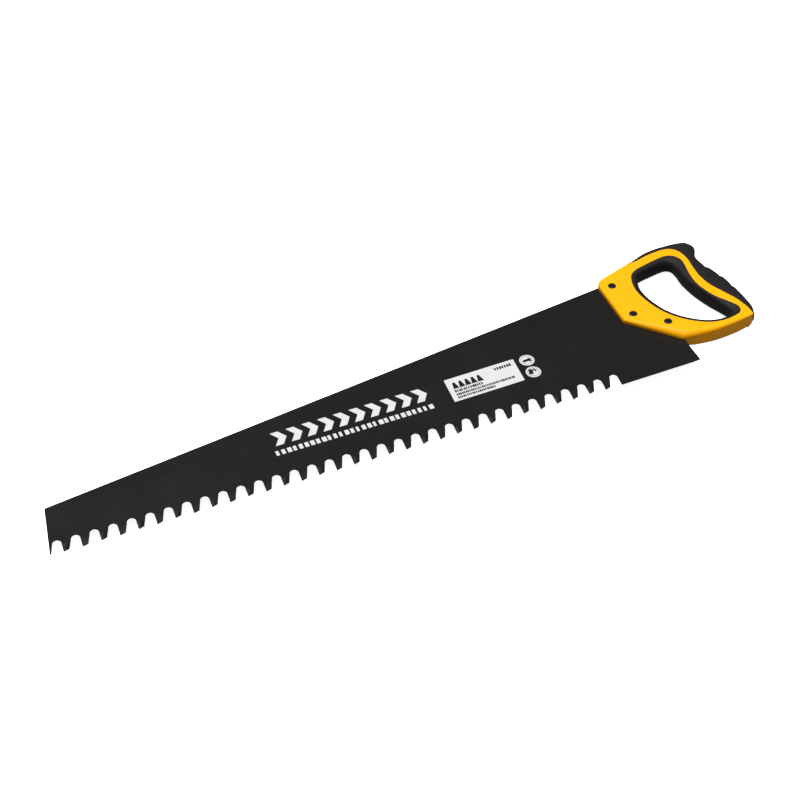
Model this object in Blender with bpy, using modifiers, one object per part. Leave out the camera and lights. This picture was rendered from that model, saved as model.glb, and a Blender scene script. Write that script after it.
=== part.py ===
"""Large-toothed hand saw with a fixed, closed-loop handle, lying on its side.

The blade is one flat steel plate. Its heel sits in a slot in a rigid handle core and is held
by three screws in sleeve nuts. Soft rubber is moulded round the back of the grip and round the
inside of the hand opening. A label and two pictogram discs lie on the blade.

Plan coordinates are millimetres: X runs from the toe to the handle along the tooth line, and
Y from the tooth line to the blade's back. Z is zero on the blade's middle plane. The row frame
has its origin under the middle of the whole saw, so to_row shifts every plan point.
"""

import math

import bmesh
import bpy
from mathutils import Matrix, Vector

MM = 0.001
GAP = 0.3                       # clearance between pieces that touch

# Blade plate
BLADE_THICK = 1.6
TOE_TIP = (-0.2, 1.8)
TOE_TOP = (9.8, 60.9)
BACK_SLOPE = 0.1322             # rise of the back edge along the blade
FIRST_TOOTH_X = 12.9
TOOTH_PITCH = 18.63
TOOTH_COUNT = 33
HEEL_X = 700.5
HEEL_Y = 2.5
GULLET_RADIUS = 4.5
GULLET_CENTRE = (-3.4, 12.8)    # from the cutting point behind the gullet
TOOTH_TAIL = (-12.3, 2.0)       # where the land of the tooth in front ends
GULLET_ARC_STEPS = 7
LAND_SPLIT = 3.0                # from a cutting point back to the middle of its land
TANG = [(700.5, 60.5), (693.0, 72.0), (684.0, 90.0), (681.0, 105.0), (681.0, 136.0), (673.0, 147.8)]

# Handle core
FRONT_X = 652.8
FRONT_HALF = 7.0                # half thickness at the front edge
BODY_HALF = 9.4                 # half thickness behind the cheeks
CHEEK_END_X = 705.0             # where the cheeks reach full thickness
CORE_EDGE_ROUND = 2.0
FRONT_LOW = 82.5                # lower end of the straight front edge
FRONT_TOP = 148.5               # where the front edge would meet the top edge
FRONT_TOP_ROUND = 9.0
TOP_EDGE = [(668, 153.5), (682, 157.5)]
HEEL_CORNER = (700, 34.5)       # between the mitre edge and the lower edge
HEEL_ROUND = 10.0
BOTTOM_EDGE = [(782.5, 35), (765, 32), (738, 30), (714, 32)]

# Outer edge of the yellow strip, paired with the outline of the back rubber at mid thickness
GRIP_PAIRS = [
    ((697, 161), (696.5, 163)), ((708, 161.5), (706, 166.5)), ((722, 165), (720, 172.5)),
    ((736, 167), (735.5, 175.5)), ((746.5, 167), (750, 176.5)), ((754, 164), (764.5, 176.5)),
    ((759, 158), (777, 174)), ((761.5, 149.5), (782.5, 163)), ((762, 140.5), (775.5, 147)),
    ((761, 129), (778, 132)), ((760.5, 115), (785, 116)), ((763, 98.5), (789.5, 100)),
    ((769.5, 83.5), (791.5, 84)), ((778.5, 65), (792.5, 66)), ((783, 49), (791.5, 49.5)),
    ((784, 38), (787, 37)),
]

# Edge of the hand opening in the core, paired with the liner's outline at mid thickness
OPENING_PAIRS = [
    ((691, 140), (697, 135)), ((700, 148), (703, 141.5)), ((719, 153), (720, 145.5)),
    ((738, 156.5), (735.5, 147.5)), ((748, 154.5), (741, 145)), ((753.5, 148), (742.5, 140.5)),
    ((755, 139), (743, 133)), ((752, 120), (743, 120.5)), ((752, 101), (747, 102)),
    ((758.5, 80), (753.5, 82)), ((768, 65), (759.5, 65)), ((775, 53), (763, 55)),
    ((773.5, 45), (763, 49)), ((767, 41), (760, 46)), ((750, 38.5), (750, 45)),
    ((732, 42.5), (735, 48.5)), ((712, 56), (717, 61)), ((697, 75.5), (703, 79)),
    ((688.5, 99), (695.5, 100.5)), ((686, 121), (693.5, 120)),
]

# Rubber sections
RUBBER_HALF = 9.1               # half thickness where the rubber meets the core
RUBBER_SWELL = 0.35             # how much fuller than an ellipse the section is
SECTION_STEPS = 8
PATH_STEPS = 3                  # stretches between one control point and the next
CORNER_STEPS = 5                # stretches round a rounded corner of the core

# Fasteners: screw heads show on the near side, sleeve nuts on the far side
SCREW_PLACES = [(665.5, 136), (666, 86.5), (694, 60)]
HEAD_RADIUS = 4.2
HEAD_THICK = 2.2
HEAD_SUNK = 0.5                 # head's face below the cheek
SEAT_RADIUS = HEAD_RADIUS + GAP
SHANK_RADIUS = 2.0
SLEEVE_RADIUS = 3.2
SLEEVE_TOP = 2.5
SHANK_END = -4.0
SOCKET_RADIUS = 1.7
SOCKET_DEPTH = 1.4
ROUND_SIDES = 24

# Label and pictogram discs on the blade's near face
FILM_THICK = 0.2
LABEL_CENTRE = (479.2, 60.0)
LABEL_SIZE = (80.0, 33.6)
LABEL_TURN = math.radians(1.4)
DISC_PLACES = {"pictogram_disc_upper": (533.0, 70.6), "pictogram_disc_lower": (531.9, 51.9)}
DISC_RADIUS = 8.1


def material(name, colour, roughness, metallic=0.0):
    """A Principled material in one colour."""
    made = bpy.data.materials.new(name)
    made.use_nodes = True
    shader = made.node_tree.nodes["Principled BSDF"]
    shader.inputs["Base Color"].default_value = (*colour, 1.0)
    shader.inputs["Roughness"].default_value = roughness
    shader.inputs["Metallic"].default_value = metallic
    made.diffuse_color = (*colour, 1.0)
    return made


def collection(name):
    """A new collection in the scene."""
    made = bpy.data.collections.new(name)
    bpy.context.scene.collection.children.link(made)
    return made


def place(obj, group, finish=None):
    """Puts an object in a collection and gives it its material."""
    group.objects.link(obj)
    if finish is not None:
        obj.data.materials.clear()
        obj.data.materials.append(finish)
    return obj


def as_cutter(obj, group):
    """Marks an object as a cutter."""
    group.objects.link(obj)
    obj.hide_render = True
    obj.display_type = "WIRE"
    return obj


def smooth(points, steps, closed=False):
    """Points on a Catmull-Rom curve through the given plan points."""
    count = len(points)
    made = []
    for i in range(count if closed else count - 1):
        around = []
        for k in (-1, 0, 1, 2):
            at = (i + k) % count if closed else min(max(i + k, 0), count - 1)
            around.append(Vector(points[at]))
        for step in range(steps):
            t = step / steps
            weights = (-t + 2 * t**2 - t**3, 2 - 5 * t**2 + 3 * t**3,
                       t + 4 * t**2 - 3 * t**3, -(t**2) + t**3)
            made.append(sum((w * p for w, p in zip(weights, around)), Vector((0, 0))) / 2)
    if not closed:
        made.append(Vector(points[-1]))
    return made


def frame_shift():
    """Moves plan points so that the origin is under the middle of the saw's bounding box."""
    crest = smooth([pair[1] for pair in GRIP_PAIRS], PATH_STEPS)
    right = max(point.x for point in crest)
    top = max(point.y for point in crest)
    return Vector((-(TOE_TIP[0] + right) / 2, -top / 2, BODY_HALF))


def to_row(point, z=0.0):
    """A plan point in millimetres as a row-frame vector in metres."""
    return (Vector((point[0], point[1], z)) + frame_shift()) * MM


def arc(centre, radius, start, end, steps):
    """Points on an arc, with the angles in degrees."""
    made = []
    for i in range(steps + 1):
        angle = math.radians(start + (end - start) * i / steps)
        made.append((centre[0] + radius * math.cos(angle), centre[1] + radius * math.sin(angle)))
    return made


def fillet(before, corner, after, radius, steps):
    """Points of the arc that rounds a corner between two neighbours."""
    corner = Vector(corner)
    back = (Vector(before) - corner).normalized()
    on = (Vector(after) - corner).normalized()
    half = back.angle(on) / 2
    centre = corner + (back + on).normalized() * radius / math.sin(half)
    reach = radius / math.tan(half)
    start = corner + back * reach - centre
    turn = start.angle_signed(corner + on * reach - centre)
    return [centre + Matrix.Rotation(-turn * i / steps, 2) @ start for i in range(steps + 1)]


def plate(name, outlines, low, high):
    """A flat mesh from a filled 2D curve: the first outline is the rim, the others are holes."""
    curve = bpy.data.curves.new(name, "CURVE")
    curve.dimensions = "2D"
    curve.fill_mode = "BOTH"
    curve.extrude = (high - low) / 2 * MM
    for outline in outlines:
        spline = curve.splines.new("POLY")
        spline.points.add(len(outline) - 1)
        for dot, point in zip(spline.points, outline):
            dot.co = (*to_row(point).xy, 0.0, 1.0)
        spline.use_cyclic_u = True
    flat = bpy.data.objects.new(name + "_curve", curve)
    flat.location.z = to_row((0, 0), (low + high) / 2).z
    bpy.context.scene.collection.objects.link(flat)
    bpy.context.view_layer.update()
    seen = flat.evaluated_get(bpy.context.evaluated_depsgraph_get())
    mesh = bpy.data.meshes.new_from_object(seen)
    solid = bpy.data.objects.new(name, mesh)
    solid.matrix_world = flat.matrix_world
    work = bmesh.new()
    work.from_mesh(mesh)
    bmesh.ops.remove_doubles(work, verts=work.verts, dist=0.00001)
    bmesh.ops.recalc_face_normals(work, faces=work.faces)
    work.to_mesh(mesh)
    work.free()
    bpy.data.objects.remove(flat)
    return solid


def rod(name, point, radius, low, high, sides=ROUND_SIDES):
    """An upright cylinder mesh object between two heights."""
    work = bmesh.new()
    bmesh.ops.create_cone(work, cap_ends=True, segments=sides, radius1=radius * MM,
                          radius2=radius * MM, depth=(high - low) * MM)
    mesh = bpy.data.meshes.new(name)
    work.to_mesh(mesh)
    work.free()
    made = bpy.data.objects.new(name, mesh)
    made.location = to_row(point, (low + high) / 2)
    return made


def boolean(obj, other, operation="DIFFERENCE"):
    """Adds a Boolean modifier with the exact solver."""
    step = obj.modifiers.new(operation.lower(), "BOOLEAN")
    step.operation = operation
    step.object = other


def round_shading(obj, angle=30.0):
    """Smooth shading with edges kept sharp above an angle."""
    obj.data.shade_smooth()
    obj.data.set_sharp_from_angle(angle=math.radians(angle))


def face_half(x):
    """Half thickness of the handle core at a plan X."""
    share = min(max((x - FRONT_X) / (CHEEK_END_X - FRONT_X), 0.0), 1.0)
    return FRONT_HALF + share * (BODY_HALF - FRONT_HALF)


def back_edge(x):
    """Plan Y of the blade's back edge at a plan X."""
    return TOE_TOP[1] + BACK_SLOPE * (x - TOE_TOP[0])


def blade_outline():
    """The blade's rim: toe, teeth, plain heel, hidden tang and back edge."""
    rim = [TOE_TOP, TOE_TIP]
    for k in range(TOOTH_COUNT):
        x = FIRST_TOOTH_X + k * TOOTH_PITCH
        centre = (x + GULLET_CENTRE[0], GULLET_CENTRE[1])
        rim.append((x + TOOTH_TAIL[0], TOOTH_TAIL[1]))
        rim.extend(arc(centre, GULLET_RADIUS, 170.0, -4.0, GULLET_ARC_STEPS))
        rim.append((x, 0.0))
    rim.append((HEEL_X, HEEL_Y))
    rim.extend(TANG)
    return rim


def split_at_teeth(blade):
    """Splits the plate's flat faces once behind each cutting point, so that none is long and thin."""
    work = bmesh.new()
    work.from_mesh(blade.data)
    bmesh.ops.dissolve_limit(work, angle_limit=0.001, verts=work.verts, edges=work.edges)
    for k in range(TOOTH_COUNT):
        x = to_row((FIRST_TOOTH_X + k * TOOTH_PITCH + LAND_SPLIT, 0.0)).x
        everything = work.verts[:] + work.edges[:] + work.faces[:]
        bmesh.ops.bisect_plane(work, geom=everything, plane_co=(x, 0, 0), plane_no=(1, 0, 0))
    work.to_mesh(blade.data)
    work.free()


def build_blade(group, finish):
    """The toothed plate with its three fixing holes."""
    half = BLADE_THICK / 2
    holes = [arc(point, SLEEVE_RADIUS + GAP, 0.0, 345.0, ROUND_SIDES - 1)
             for point in SCREW_PLACES]
    blade = place(plate("blade", [blade_outline(), *holes], -half, half), group, finish)
    split_at_teeth(blade)
    return blade


def core_outline():
    """The core's rim, along the front, over the top, down behind the strip and back."""
    low = (FRONT_X, FRONT_LOW)
    front = fillet(low, (FRONT_X, FRONT_TOP), TOP_EDGE[0], FRONT_TOP_ROUND, CORNER_STEPS)
    strip = smooth([pair[0] for pair in GRIP_PAIRS], PATH_STEPS)
    top = smooth([front[-1], *TOP_EDGE, strip[0]], PATH_STEPS)[1:-1]
    bottom = smooth([strip[-1], *BOTTOM_EDGE], PATH_STEPS)[1:-1]
    heel = fillet(BOTTOM_EDGE[-1], HEEL_CORNER, low, HEEL_ROUND, CORNER_STEPS)
    return [tuple(point) for point in [low, *front, *top, *strip, *bottom, BOTTOM_EDGE[-1], *heel]]


def cheek_wedge(side):
    """A block that planes one cheek from the front edge's thickness to full thickness."""
    reach = 80.0
    rise = (BODY_HALF - FRONT_HALF) / (CHEEK_END_X - FRONT_X)
    near = CHEEK_END_X - reach
    work = bmesh.new()
    corners = []
    for y in (20.0, 175.0):
        low = BODY_HALF - rise * reach
        section = [(near, low), (CHEEK_END_X, BODY_HALF), (near, BODY_HALF + 6.0)]
        corners.append([work.verts.new(to_row((x, y), side * z)) for x, z in section])
    first, second = corners
    work.faces.new(first)
    work.faces.new(reversed(second))
    for a in range(3):
        b = (a + 1) % 3
        work.faces.new((first[b], first[a], second[a], second[b]))
    bmesh.ops.recalc_face_normals(work, faces=work.faces)
    mesh = bpy.data.meshes.new(f"cheek_wedge_{side}")
    work.to_mesh(mesh)
    work.free()
    return bpy.data.objects.new(mesh.name, mesh)


def blade_slot():
    """A cutter that leaves room for the blade's heel and tang."""
    left = FRONT_X - 15.0
    half = BLADE_THICK / 2 + GAP
    rim = [(left, 10.0), (HEEL_X + GAP, 10.0)]
    rim += [(x + GAP, y + GAP) for x, y in TANG]
    rim.append((left, back_edge(left) + GAP))
    return plate("blade_slot", [rim], -half, half)


def build_core(group, cutters, finish):
    """The rigid yellow handle: cheeks, hand opening, blade slot, screw seats."""
    opening = [tuple(p) for p in smooth([pair[0] for pair in OPENING_PAIRS], PATH_STEPS, True)]
    core = plate("handle_core", [core_outline(), opening], -BODY_HALF, BODY_HALF)
    place(core, group, finish)
    for side in (1, -1):
        boolean(core, as_cutter(cheek_wedge(side), cutters))
    edge = core.modifiers.new("edges", "BEVEL")
    edge.width = CORE_EDGE_ROUND * MM
    edge.segments = 2
    edge.limit_method = "ANGLE"
    edge.angle_limit = math.radians(50.0)
    boolean(core, as_cutter(blade_slot(), cutters))
    for i, point in enumerate(SCREW_PLACES):
        face = face_half(point[0])
        seat = face - HEAD_SUNK - HEAD_THICK - GAP
        bore = rod(f"core_bore_{i}", point, SLEEVE_RADIUS + GAP, -BODY_HALF, BODY_HALF)
        boolean(core, as_cutter(bore, cutters))
        near = rod(f"near_seat_{i}", point, SEAT_RADIUS, seat, BODY_HALF + 2.0)
        boolean(core, as_cutter(near, cutters))
        far = rod(f"far_seat_{i}", point, SEAT_RADIUS, -BODY_HALF - 2.0, -seat)
        boolean(core, as_cutter(far, cutters))
    return core


def rubber_section(root, crest, half):
    """Points round one rubber section, from the far root over the crest to the near root."""
    depth = crest - root
    made = []
    for i in range(SECTION_STEPS + 1):
        angle = math.pi * (i / SECTION_STEPS - 0.5)
        out = math.cos(angle)
        height = half * math.sin(angle) * (1 + RUBBER_SWELL * out * out)
        made.append(to_row(root + depth * out, height))
    return made


def loft(name, sections, closed):
    """A closed body through sections of equal point counts, either a ring or with end caps."""
    work = bmesh.new()
    rings = [[work.verts.new(point) for point in section] for section in sections]
    count = len(rings)
    size = len(rings[0])
    for i in range(count if closed else count - 1):
        here, after = rings[i], rings[(i + 1) % count]
        for a in range(size):
            b = (a + 1) % size
            work.faces.new((here[a], here[b], after[b], after[a]))
    if not closed:
        work.faces.new(reversed(rings[0]))
        work.faces.new(rings[-1])
    bmesh.ops.recalc_face_normals(work, faces=work.faces)
    mesh = bpy.data.meshes.new(name)
    work.to_mesh(mesh)
    work.free()
    return bpy.data.objects.new(name, mesh)


def paired_paths(pairs, closed):
    """Smooth root and crest paths for a rubber piece, the root a gap away from the core."""
    roots = smooth([pair[0] for pair in pairs], PATH_STEPS, closed)
    crests = smooth([pair[1] for pair in pairs], PATH_STEPS, closed)
    moved = []
    for root, crest in zip(roots, crests):
        moved.append(root + (crest - root).normalized() * GAP * 1.25)
    return moved, crests


def build_rubber(name, pairs, closed, group, finish):
    """A rubber piece whose half-oval section runs along the edge of the core."""
    roots, crests = paired_paths(pairs, closed)
    sections = [rubber_section(root, crest, RUBBER_HALF) for root, crest in zip(roots, crests)]
    made = place(loft(name, sections, closed), group, finish)
    round_shading(made)
    return made


def build_screw(index, group, cutters, finish):
    """A flat-headed screw with a hexagon socket."""
    point = SCREW_PLACES[index]
    top = face_half(point[0]) - HEAD_SUNK
    under = top - HEAD_THICK
    screw = place(rod(f"handle_screw_{index + 1}", point, HEAD_RADIUS, under, top), group, finish)
    shank = rod(f"shank_{index}", point, SHANK_RADIUS, SHANK_END, under + 0.5)
    boolean(screw, as_cutter(shank, cutters), "UNION")
    socket = rod(f"socket_{index}", point, SOCKET_RADIUS, top - SOCKET_DEPTH, top + 1.0, 6)
    boolean(screw, as_cutter(socket, cutters))
    return screw


def build_sleeve(index, group, cutters, finish):
    """The sleeve nut that takes the screw from the far side."""
    point = SCREW_PLACES[index]
    low = HEAD_SUNK - face_half(point[0])
    name = f"sleeve_nut_{index + 1}"
    sleeve = place(rod(name, point, HEAD_RADIUS, low, low + HEAD_THICK), group, finish)
    barrel = rod(f"barrel_{index}", point, SLEEVE_RADIUS, low + HEAD_THICK - 0.5, SLEEVE_TOP)
    boolean(sleeve, as_cutter(barrel, cutters), "UNION")
    bore = rod(f"sleeve_bore_{index}", point, SHANK_RADIUS + GAP, SHANK_END - 0.5,
               SLEEVE_TOP + 1.0)
    boolean(sleeve, as_cutter(bore, cutters))
    return sleeve


def build_films(group, finish):
    """The label panel and the two pictogram discs."""
    low = BLADE_THICK / 2 + GAP
    label = bpy.data.objects.new("label_panel", bpy.data.meshes.new("label_panel"))
    work = bmesh.new()
    bmesh.ops.create_cube(work, size=1.0)
    size = (LABEL_SIZE[0] * MM, LABEL_SIZE[1] * MM, FILM_THICK * MM)
    bmesh.ops.scale(work, vec=size, verts=work.verts)
    work.to_mesh(label.data)
    work.free()
    label.location = to_row(LABEL_CENTRE, low + FILM_THICK / 2)
    label.rotation_euler.z = LABEL_TURN
    place(label, group, finish)
    for name, point in DISC_PLACES.items():
        place(rod(name, point, DISC_RADIUS, low, low + FILM_THICK, 48), group, finish)


def main():
    """Builds the saw."""
    for obj in list(bpy.data.objects):
        bpy.data.objects.remove(obj)
    parts = collection("hand_saw")
    cutters = collection("cutters")
    coated = material("blade_coating", (0.014, 0.014, 0.016), 0.5, 0.2)
    yellow = material("handle_yellow", (0.95, 0.56, 0.012), 0.45)
    rubber = material("grip_rubber", (0.022, 0.02, 0.02), 0.72)
    steel = material("black_steel", (0.04, 0.037, 0.035), 0.4, 0.8)
    white = material("label_white", (0.86, 0.86, 0.85), 0.55)
    build_blade(parts, coated)
    build_core(parts, cutters, yellow)
    build_rubber("back_grip", GRIP_PAIRS, False, parts, rubber)
    build_rubber("opening_liner", OPENING_PAIRS, True, parts, rubber)
    for index in range(len(SCREW_PLACES)):
        build_screw(index, parts, cutters, steel)
        build_sleeve(index, parts, cutters, steel)
    build_films(parts, white)


if __name__ == "__main__":
    main()
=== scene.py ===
"""Looks of a large-toothed hand saw lying on its side.

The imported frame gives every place. Plan coordinates are millimetres: X runs from the toe to the
handle along the tooth line, Y from the tooth line to the blade's back, and Z is zero on the
blade's middle plane. PlanFrame turns them into metres on the frame's own axes. The near side is
the side with the screw heads and the printing, and it faces up.
"""

import logging
import math
from dataclasses import dataclass, field
from enum import Enum
from typing import Any, Optional, Sequence

import bmesh
import bpy
from mathutils import Euler, Matrix, Vector
from mathutils.geometry import delaunay_2d_cdt


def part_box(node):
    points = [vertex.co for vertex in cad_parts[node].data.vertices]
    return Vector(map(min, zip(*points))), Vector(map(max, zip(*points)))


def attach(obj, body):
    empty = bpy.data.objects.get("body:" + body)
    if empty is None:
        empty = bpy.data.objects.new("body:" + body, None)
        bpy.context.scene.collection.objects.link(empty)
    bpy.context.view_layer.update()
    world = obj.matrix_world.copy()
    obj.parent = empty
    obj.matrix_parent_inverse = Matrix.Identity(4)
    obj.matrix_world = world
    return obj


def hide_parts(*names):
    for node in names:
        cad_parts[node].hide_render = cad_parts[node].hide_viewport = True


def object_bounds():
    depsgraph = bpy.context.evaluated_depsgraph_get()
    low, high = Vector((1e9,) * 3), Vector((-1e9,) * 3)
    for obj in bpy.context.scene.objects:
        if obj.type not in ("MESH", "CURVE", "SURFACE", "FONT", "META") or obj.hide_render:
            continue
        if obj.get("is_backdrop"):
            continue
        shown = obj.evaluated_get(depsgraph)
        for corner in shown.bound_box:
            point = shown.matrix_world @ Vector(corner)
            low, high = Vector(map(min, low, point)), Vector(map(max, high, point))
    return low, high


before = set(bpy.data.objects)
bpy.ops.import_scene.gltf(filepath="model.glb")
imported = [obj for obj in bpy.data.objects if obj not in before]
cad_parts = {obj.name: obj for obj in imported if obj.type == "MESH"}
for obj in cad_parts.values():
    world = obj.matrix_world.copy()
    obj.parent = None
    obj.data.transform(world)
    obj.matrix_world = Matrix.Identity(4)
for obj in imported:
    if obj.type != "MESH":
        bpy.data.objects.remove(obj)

CAD_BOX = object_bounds()
BODY = "root"
MM = 0.001
MERGE = 0.000002                # distance under which two vertices are one, in metres
SEAM_WELD = 0.00002             # the same distance along the seam of the teeth
HEXAGON_STEP = math.radians(60.0)
TOE_TIP = (-0.2, 1.8)

log = logging.getLogger("hand_saw")


class Slot(Enum):
    """The record's material slots."""

    BLADE = "blade_coating"
    YELLOW = "handle_yellow"
    RUBBER = "grip_rubber"
    STEEL = "black_steel"
    WHITE = "label_white"


class Side(Enum):
    """The two faces of the saw."""

    NEAR = 1
    FAR = -1


# ---------------------------------------------------------------- places and outlines


@dataclass(frozen=True)
class PlanFrame:
    """Turns plan millimetres into metres on the frame's axes."""

    shift: Vector

    @classmethod
    def from_frame(cls) -> "PlanFrame":
        """Reads the shift from the boxes of the blade and the handle core."""
        blade_low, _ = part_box("blade")
        core_low, core_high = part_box("handle_core")
        middle = (core_low.z + core_high.z) / 2
        return cls(Vector((blade_low.x - TOE_TIP[0] * MM, blade_low.y, middle)))

    def at(self, x: float, y: float, z: float = 0.0) -> Vector:
        """A plan point as a point in metres."""
        return Vector((x, y, z)) * MM + self.shift


PLAN = PlanFrame.from_frame()


def spline_through(points: Sequence[Sequence[float]], steps: int, closed: bool = False) -> list[Vector]:
    """Points on a Catmull-Rom curve.

    Args:
        points: control points, all of the same number of coordinates.
        steps: stretches between one control point and the next.
        closed: whether the curve returns to its first point.

    Returns:
        The points, with the last control point at the end of an open curve.
    """
    count = len(points)
    made = []
    for i in range(count if closed else count - 1):
        around = []
        for k in (-1, 0, 1, 2):
            at = (i + k) % count if closed else min(max(i + k, 0), count - 1)
            around.append(Vector(points[at]))
        for step in range(steps):
            t = step / steps
            weights = (-t + 2 * t**2 - t**3, 2 - 5 * t**2 + 3 * t**3,
                       t + 4 * t**2 - 3 * t**3, -(t**2) + t**3)
            total = Vector([0.0] * len(points[0]))
            for weight, point in zip(weights, around):
                total += weight * point
            made.append(total / 2)
    if not closed:
        made.append(Vector(points[-1]))
    return made


def arc(centre: Sequence[float], radius: float, start: float, end: float, steps: int) -> list[Vector]:
    """Points on an arc, with both ends kept.

    Args:
        centre: the arc's centre.
        radius: its radius.
        start: its first angle in degrees.
        end: its last angle in degrees.
        steps: stretches along it.

    Returns:
        The points from the first angle to the last.
    """
    made = []
    for i in range(steps + 1):
        angle = math.radians(start + (end - start) * i / steps)
        made.append(Vector((centre[0] + radius * math.cos(angle), centre[1] + radius * math.sin(angle))))
    return made


def circle(centre: Sequence[float], radius: float, steps: int) -> list[Vector]:
    """Points round a full circle."""
    return arc(centre, radius, 0.0, 360.0, steps)[:-1]


def fillet(before: Sequence[float], corner: Sequence[float], after: Sequence[float],
           radius: float, steps: int) -> list[Vector]:
    """Points of the arc that rounds a corner between two neighbours.

    Args:
        before: the point that the outline comes from.
        corner: the sharp corner.
        after: the point that the outline goes to.
        radius: the arc's radius.
        steps: stretches along the arc.

    Returns:
        The arc's points in the outline's direction.
    """
    corner = Vector(corner[:2])
    back = (Vector(before[:2]) - corner).normalized()
    on = (Vector(after[:2]) - corner).normalized()
    half = back.angle(on) / 2
    centre = corner + (back + on).normalized() * radius / math.sin(half)
    reach = radius / math.tan(half)
    start = corner + back * reach - centre
    turn = start.angle_signed(corner + on * reach - centre)
    return [centre + Matrix.Rotation(-turn * i / steps, 2) @ start for i in range(steps + 1)]


def rounded_box(width: float, height: float, radius: float, steps: int = 4) -> list[Vector]:
    """Outline of a rounded rectangle with its lower left corner at the origin.

    Args:
        width: its size along X.
        height: its size along Y.
        radius: its corners' radius.
        steps: stretches round each corner.

    Returns:
        The outline's points.
    """
    made = []
    corners = (((width - radius, radius), -90.0), ((width - radius, height - radius), 0.0),
               ((radius, height - radius), 90.0), ((radius, radius), 180.0))
    for centre, start in corners:
        made.extend(arc(centre, radius, start, start + 90.0, steps))
    return made


def placed(outline: Sequence[Vector], centre: Sequence[float], turn: float) -> list[Vector]:
    """An outline turned by an angle in degrees and moved to a centre."""
    spin = Matrix.Rotation(math.radians(turn), 2)
    return [spin @ Vector(point[:2]) + Vector(centre[:2]) for point in outline]


def inside(point: Vector, outline: Sequence[Vector]) -> bool:
    """Whether a plan point lies inside a closed outline.

    Args:
        point: the plan point.
        outline: the outline's points.

    Returns:
        True where it lies inside.
    """
    found = False
    for i, a in enumerate(outline):
        b = outline[i - 1]
        if (a.y > point.y) != (b.y > point.y):
            if point.x < (b.x - a.x) * (point.y - a.y) / (b.y - a.y) + a.x:
                found = not found
    return found


def eased(value: float) -> float:
    """A share from 0 to 1 with flat ends."""
    value = min(max(value, 0.0), 1.0)
    return value * value * (3 - 2 * value)


# ---------------------------------------------------------------- mesh work


def mesh_object(name: str, points: Sequence[Vector], faces: Sequence[Sequence[int]]) -> bpy.types.Object:
    """Adds a mesh object to the scene.

    Args:
        name: the object's name.
        points: its points in metres.
        faces: its faces as index lists.

    Returns:
        The new object.
    """
    mesh = bpy.data.meshes.new(name)
    mesh.from_pydata([tuple(point) for point in points], [], [tuple(face) for face in faces])
    made = bpy.data.objects.new(name, mesh)
    bpy.context.scene.collection.objects.link(made)
    return made


def close_up(obj: bpy.types.Object) -> bpy.types.Object:
    """Merges doubled vertices and turns every face outwards.

    Args:
        obj: the object.

    Returns:
        The same object.
    """
    work = bmesh.new()
    work.from_mesh(obj.data)
    bmesh.ops.remove_doubles(work, verts=work.verts, dist=MERGE)
    bmesh.ops.recalc_face_normals(work, faces=work.faces)
    work.to_mesh(obj.data)
    work.free()
    return obj


def smooth_shading(obj: bpy.types.Object, angle: float = 35.0) -> None:
    """Smooth shading that keeps edges sharp above an angle in degrees."""
    obj.data.shade_smooth()
    obj.data.set_sharp_from_angle(angle=math.radians(angle))


def even_shading(obj: bpy.types.Object, angle: float) -> None:
    """Smooth shading in which large flat faces stay flat."""
    smooth_shading(obj, angle)
    even = obj.modifiers.new("even_normals", "WEIGHTED_NORMAL")
    even.keep_sharp = True
    settle(obj)


def settle(obj: bpy.types.Object) -> bpy.types.Object:
    """Turns the evaluated object into a plain mesh and clears its modifiers.

    Args:
        obj: the object.

    Returns:
        The same object.
    """
    bpy.context.view_layer.update()
    seen = obj.evaluated_get(bpy.context.evaluated_depsgraph_get())
    mesh = bpy.data.meshes.new_from_object(seen, preserve_all_data_layers=True,
                                           depsgraph=bpy.context.evaluated_depsgraph_get())
    mesh.name = obj.name
    obj.modifiers.clear()
    obj.data = mesh
    return obj


def discard(objects: Sequence[bpy.types.Object]) -> None:
    """Removes cutters and motifs that have done their work."""
    for obj in objects:
        bpy.data.objects.remove(obj)


def fill(loops: Sequence[Sequence[Vector]], inner: Sequence[Vector] = ()) -> tuple[list[Vector], list]:
    """Triangles that fill an outline.

    Args:
        loops: the outline first, and then the outlines of its holes.
        inner: extra points that the triangles use.

    Returns:
        The plan points and the triangles as index lists.
    """
    points, edges = [], []
    for loop in loops:
        first = len(points)
        points += [Vector(point[:2]) for point in loop]
        edges += [(first + i, first + (i + 1) % len(loop)) for i in range(len(loop))]
    points += [Vector(point[:2]) for point in inner]
    found, _, faces, *_ = delaunay_2d_cdt(points, edges, [], 0, 1e-6)
    kept = []
    for face in faces:
        middle = sum((found[i] for i in face), Vector((0, 0))) / len(face)
        if inside(middle, loops[0]) and not any(inside(middle, hole) for hole in loops[1:]):
            kept.append(face)
    return found, kept


def plate(name: str, loops: Sequence[Sequence[Vector]], low: float, high: float,
          open_edges: Sequence[int] = (), local: bool = False) -> bpy.types.Object:
    """A flat plate between two heights.

    Args:
        name: the object's name.
        loops: its outline, and then the outlines of its holes.
        low: the height of its lower face.
        high: the height of its upper face.
        open_edges: stretches of the outline, by their first point, that get no wall.
        local: whether the points stay about the origin and not in the frame.

    Returns:
        The plate's object.
    """
    place = (lambda x, y, z: Vector((x, y, z)) * MM) if local else PLAN.at
    found, triangles = fill(loops)
    points, faces = [], []
    for z in (low, high):
        first = len(points)
        points += [place(point.x, point.y, z) for point in found]
        faces += [[first + i for i in face] for face in triangles]
    skipped = set(open_edges)
    for number, loop in enumerate(loops):
        first = len(points)
        points += [place(point[0], point[1], z) for point in loop for z in (low, high)]
        for i in range(len(loop)):
            if number == 0 and i in skipped:
                continue
            a, b = first + 2 * i, first + 2 * ((i + 1) % len(loop))
            faces.append([a, b, b + 1, a + 1])
    return close_up(mesh_object(name, points, faces))


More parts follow.
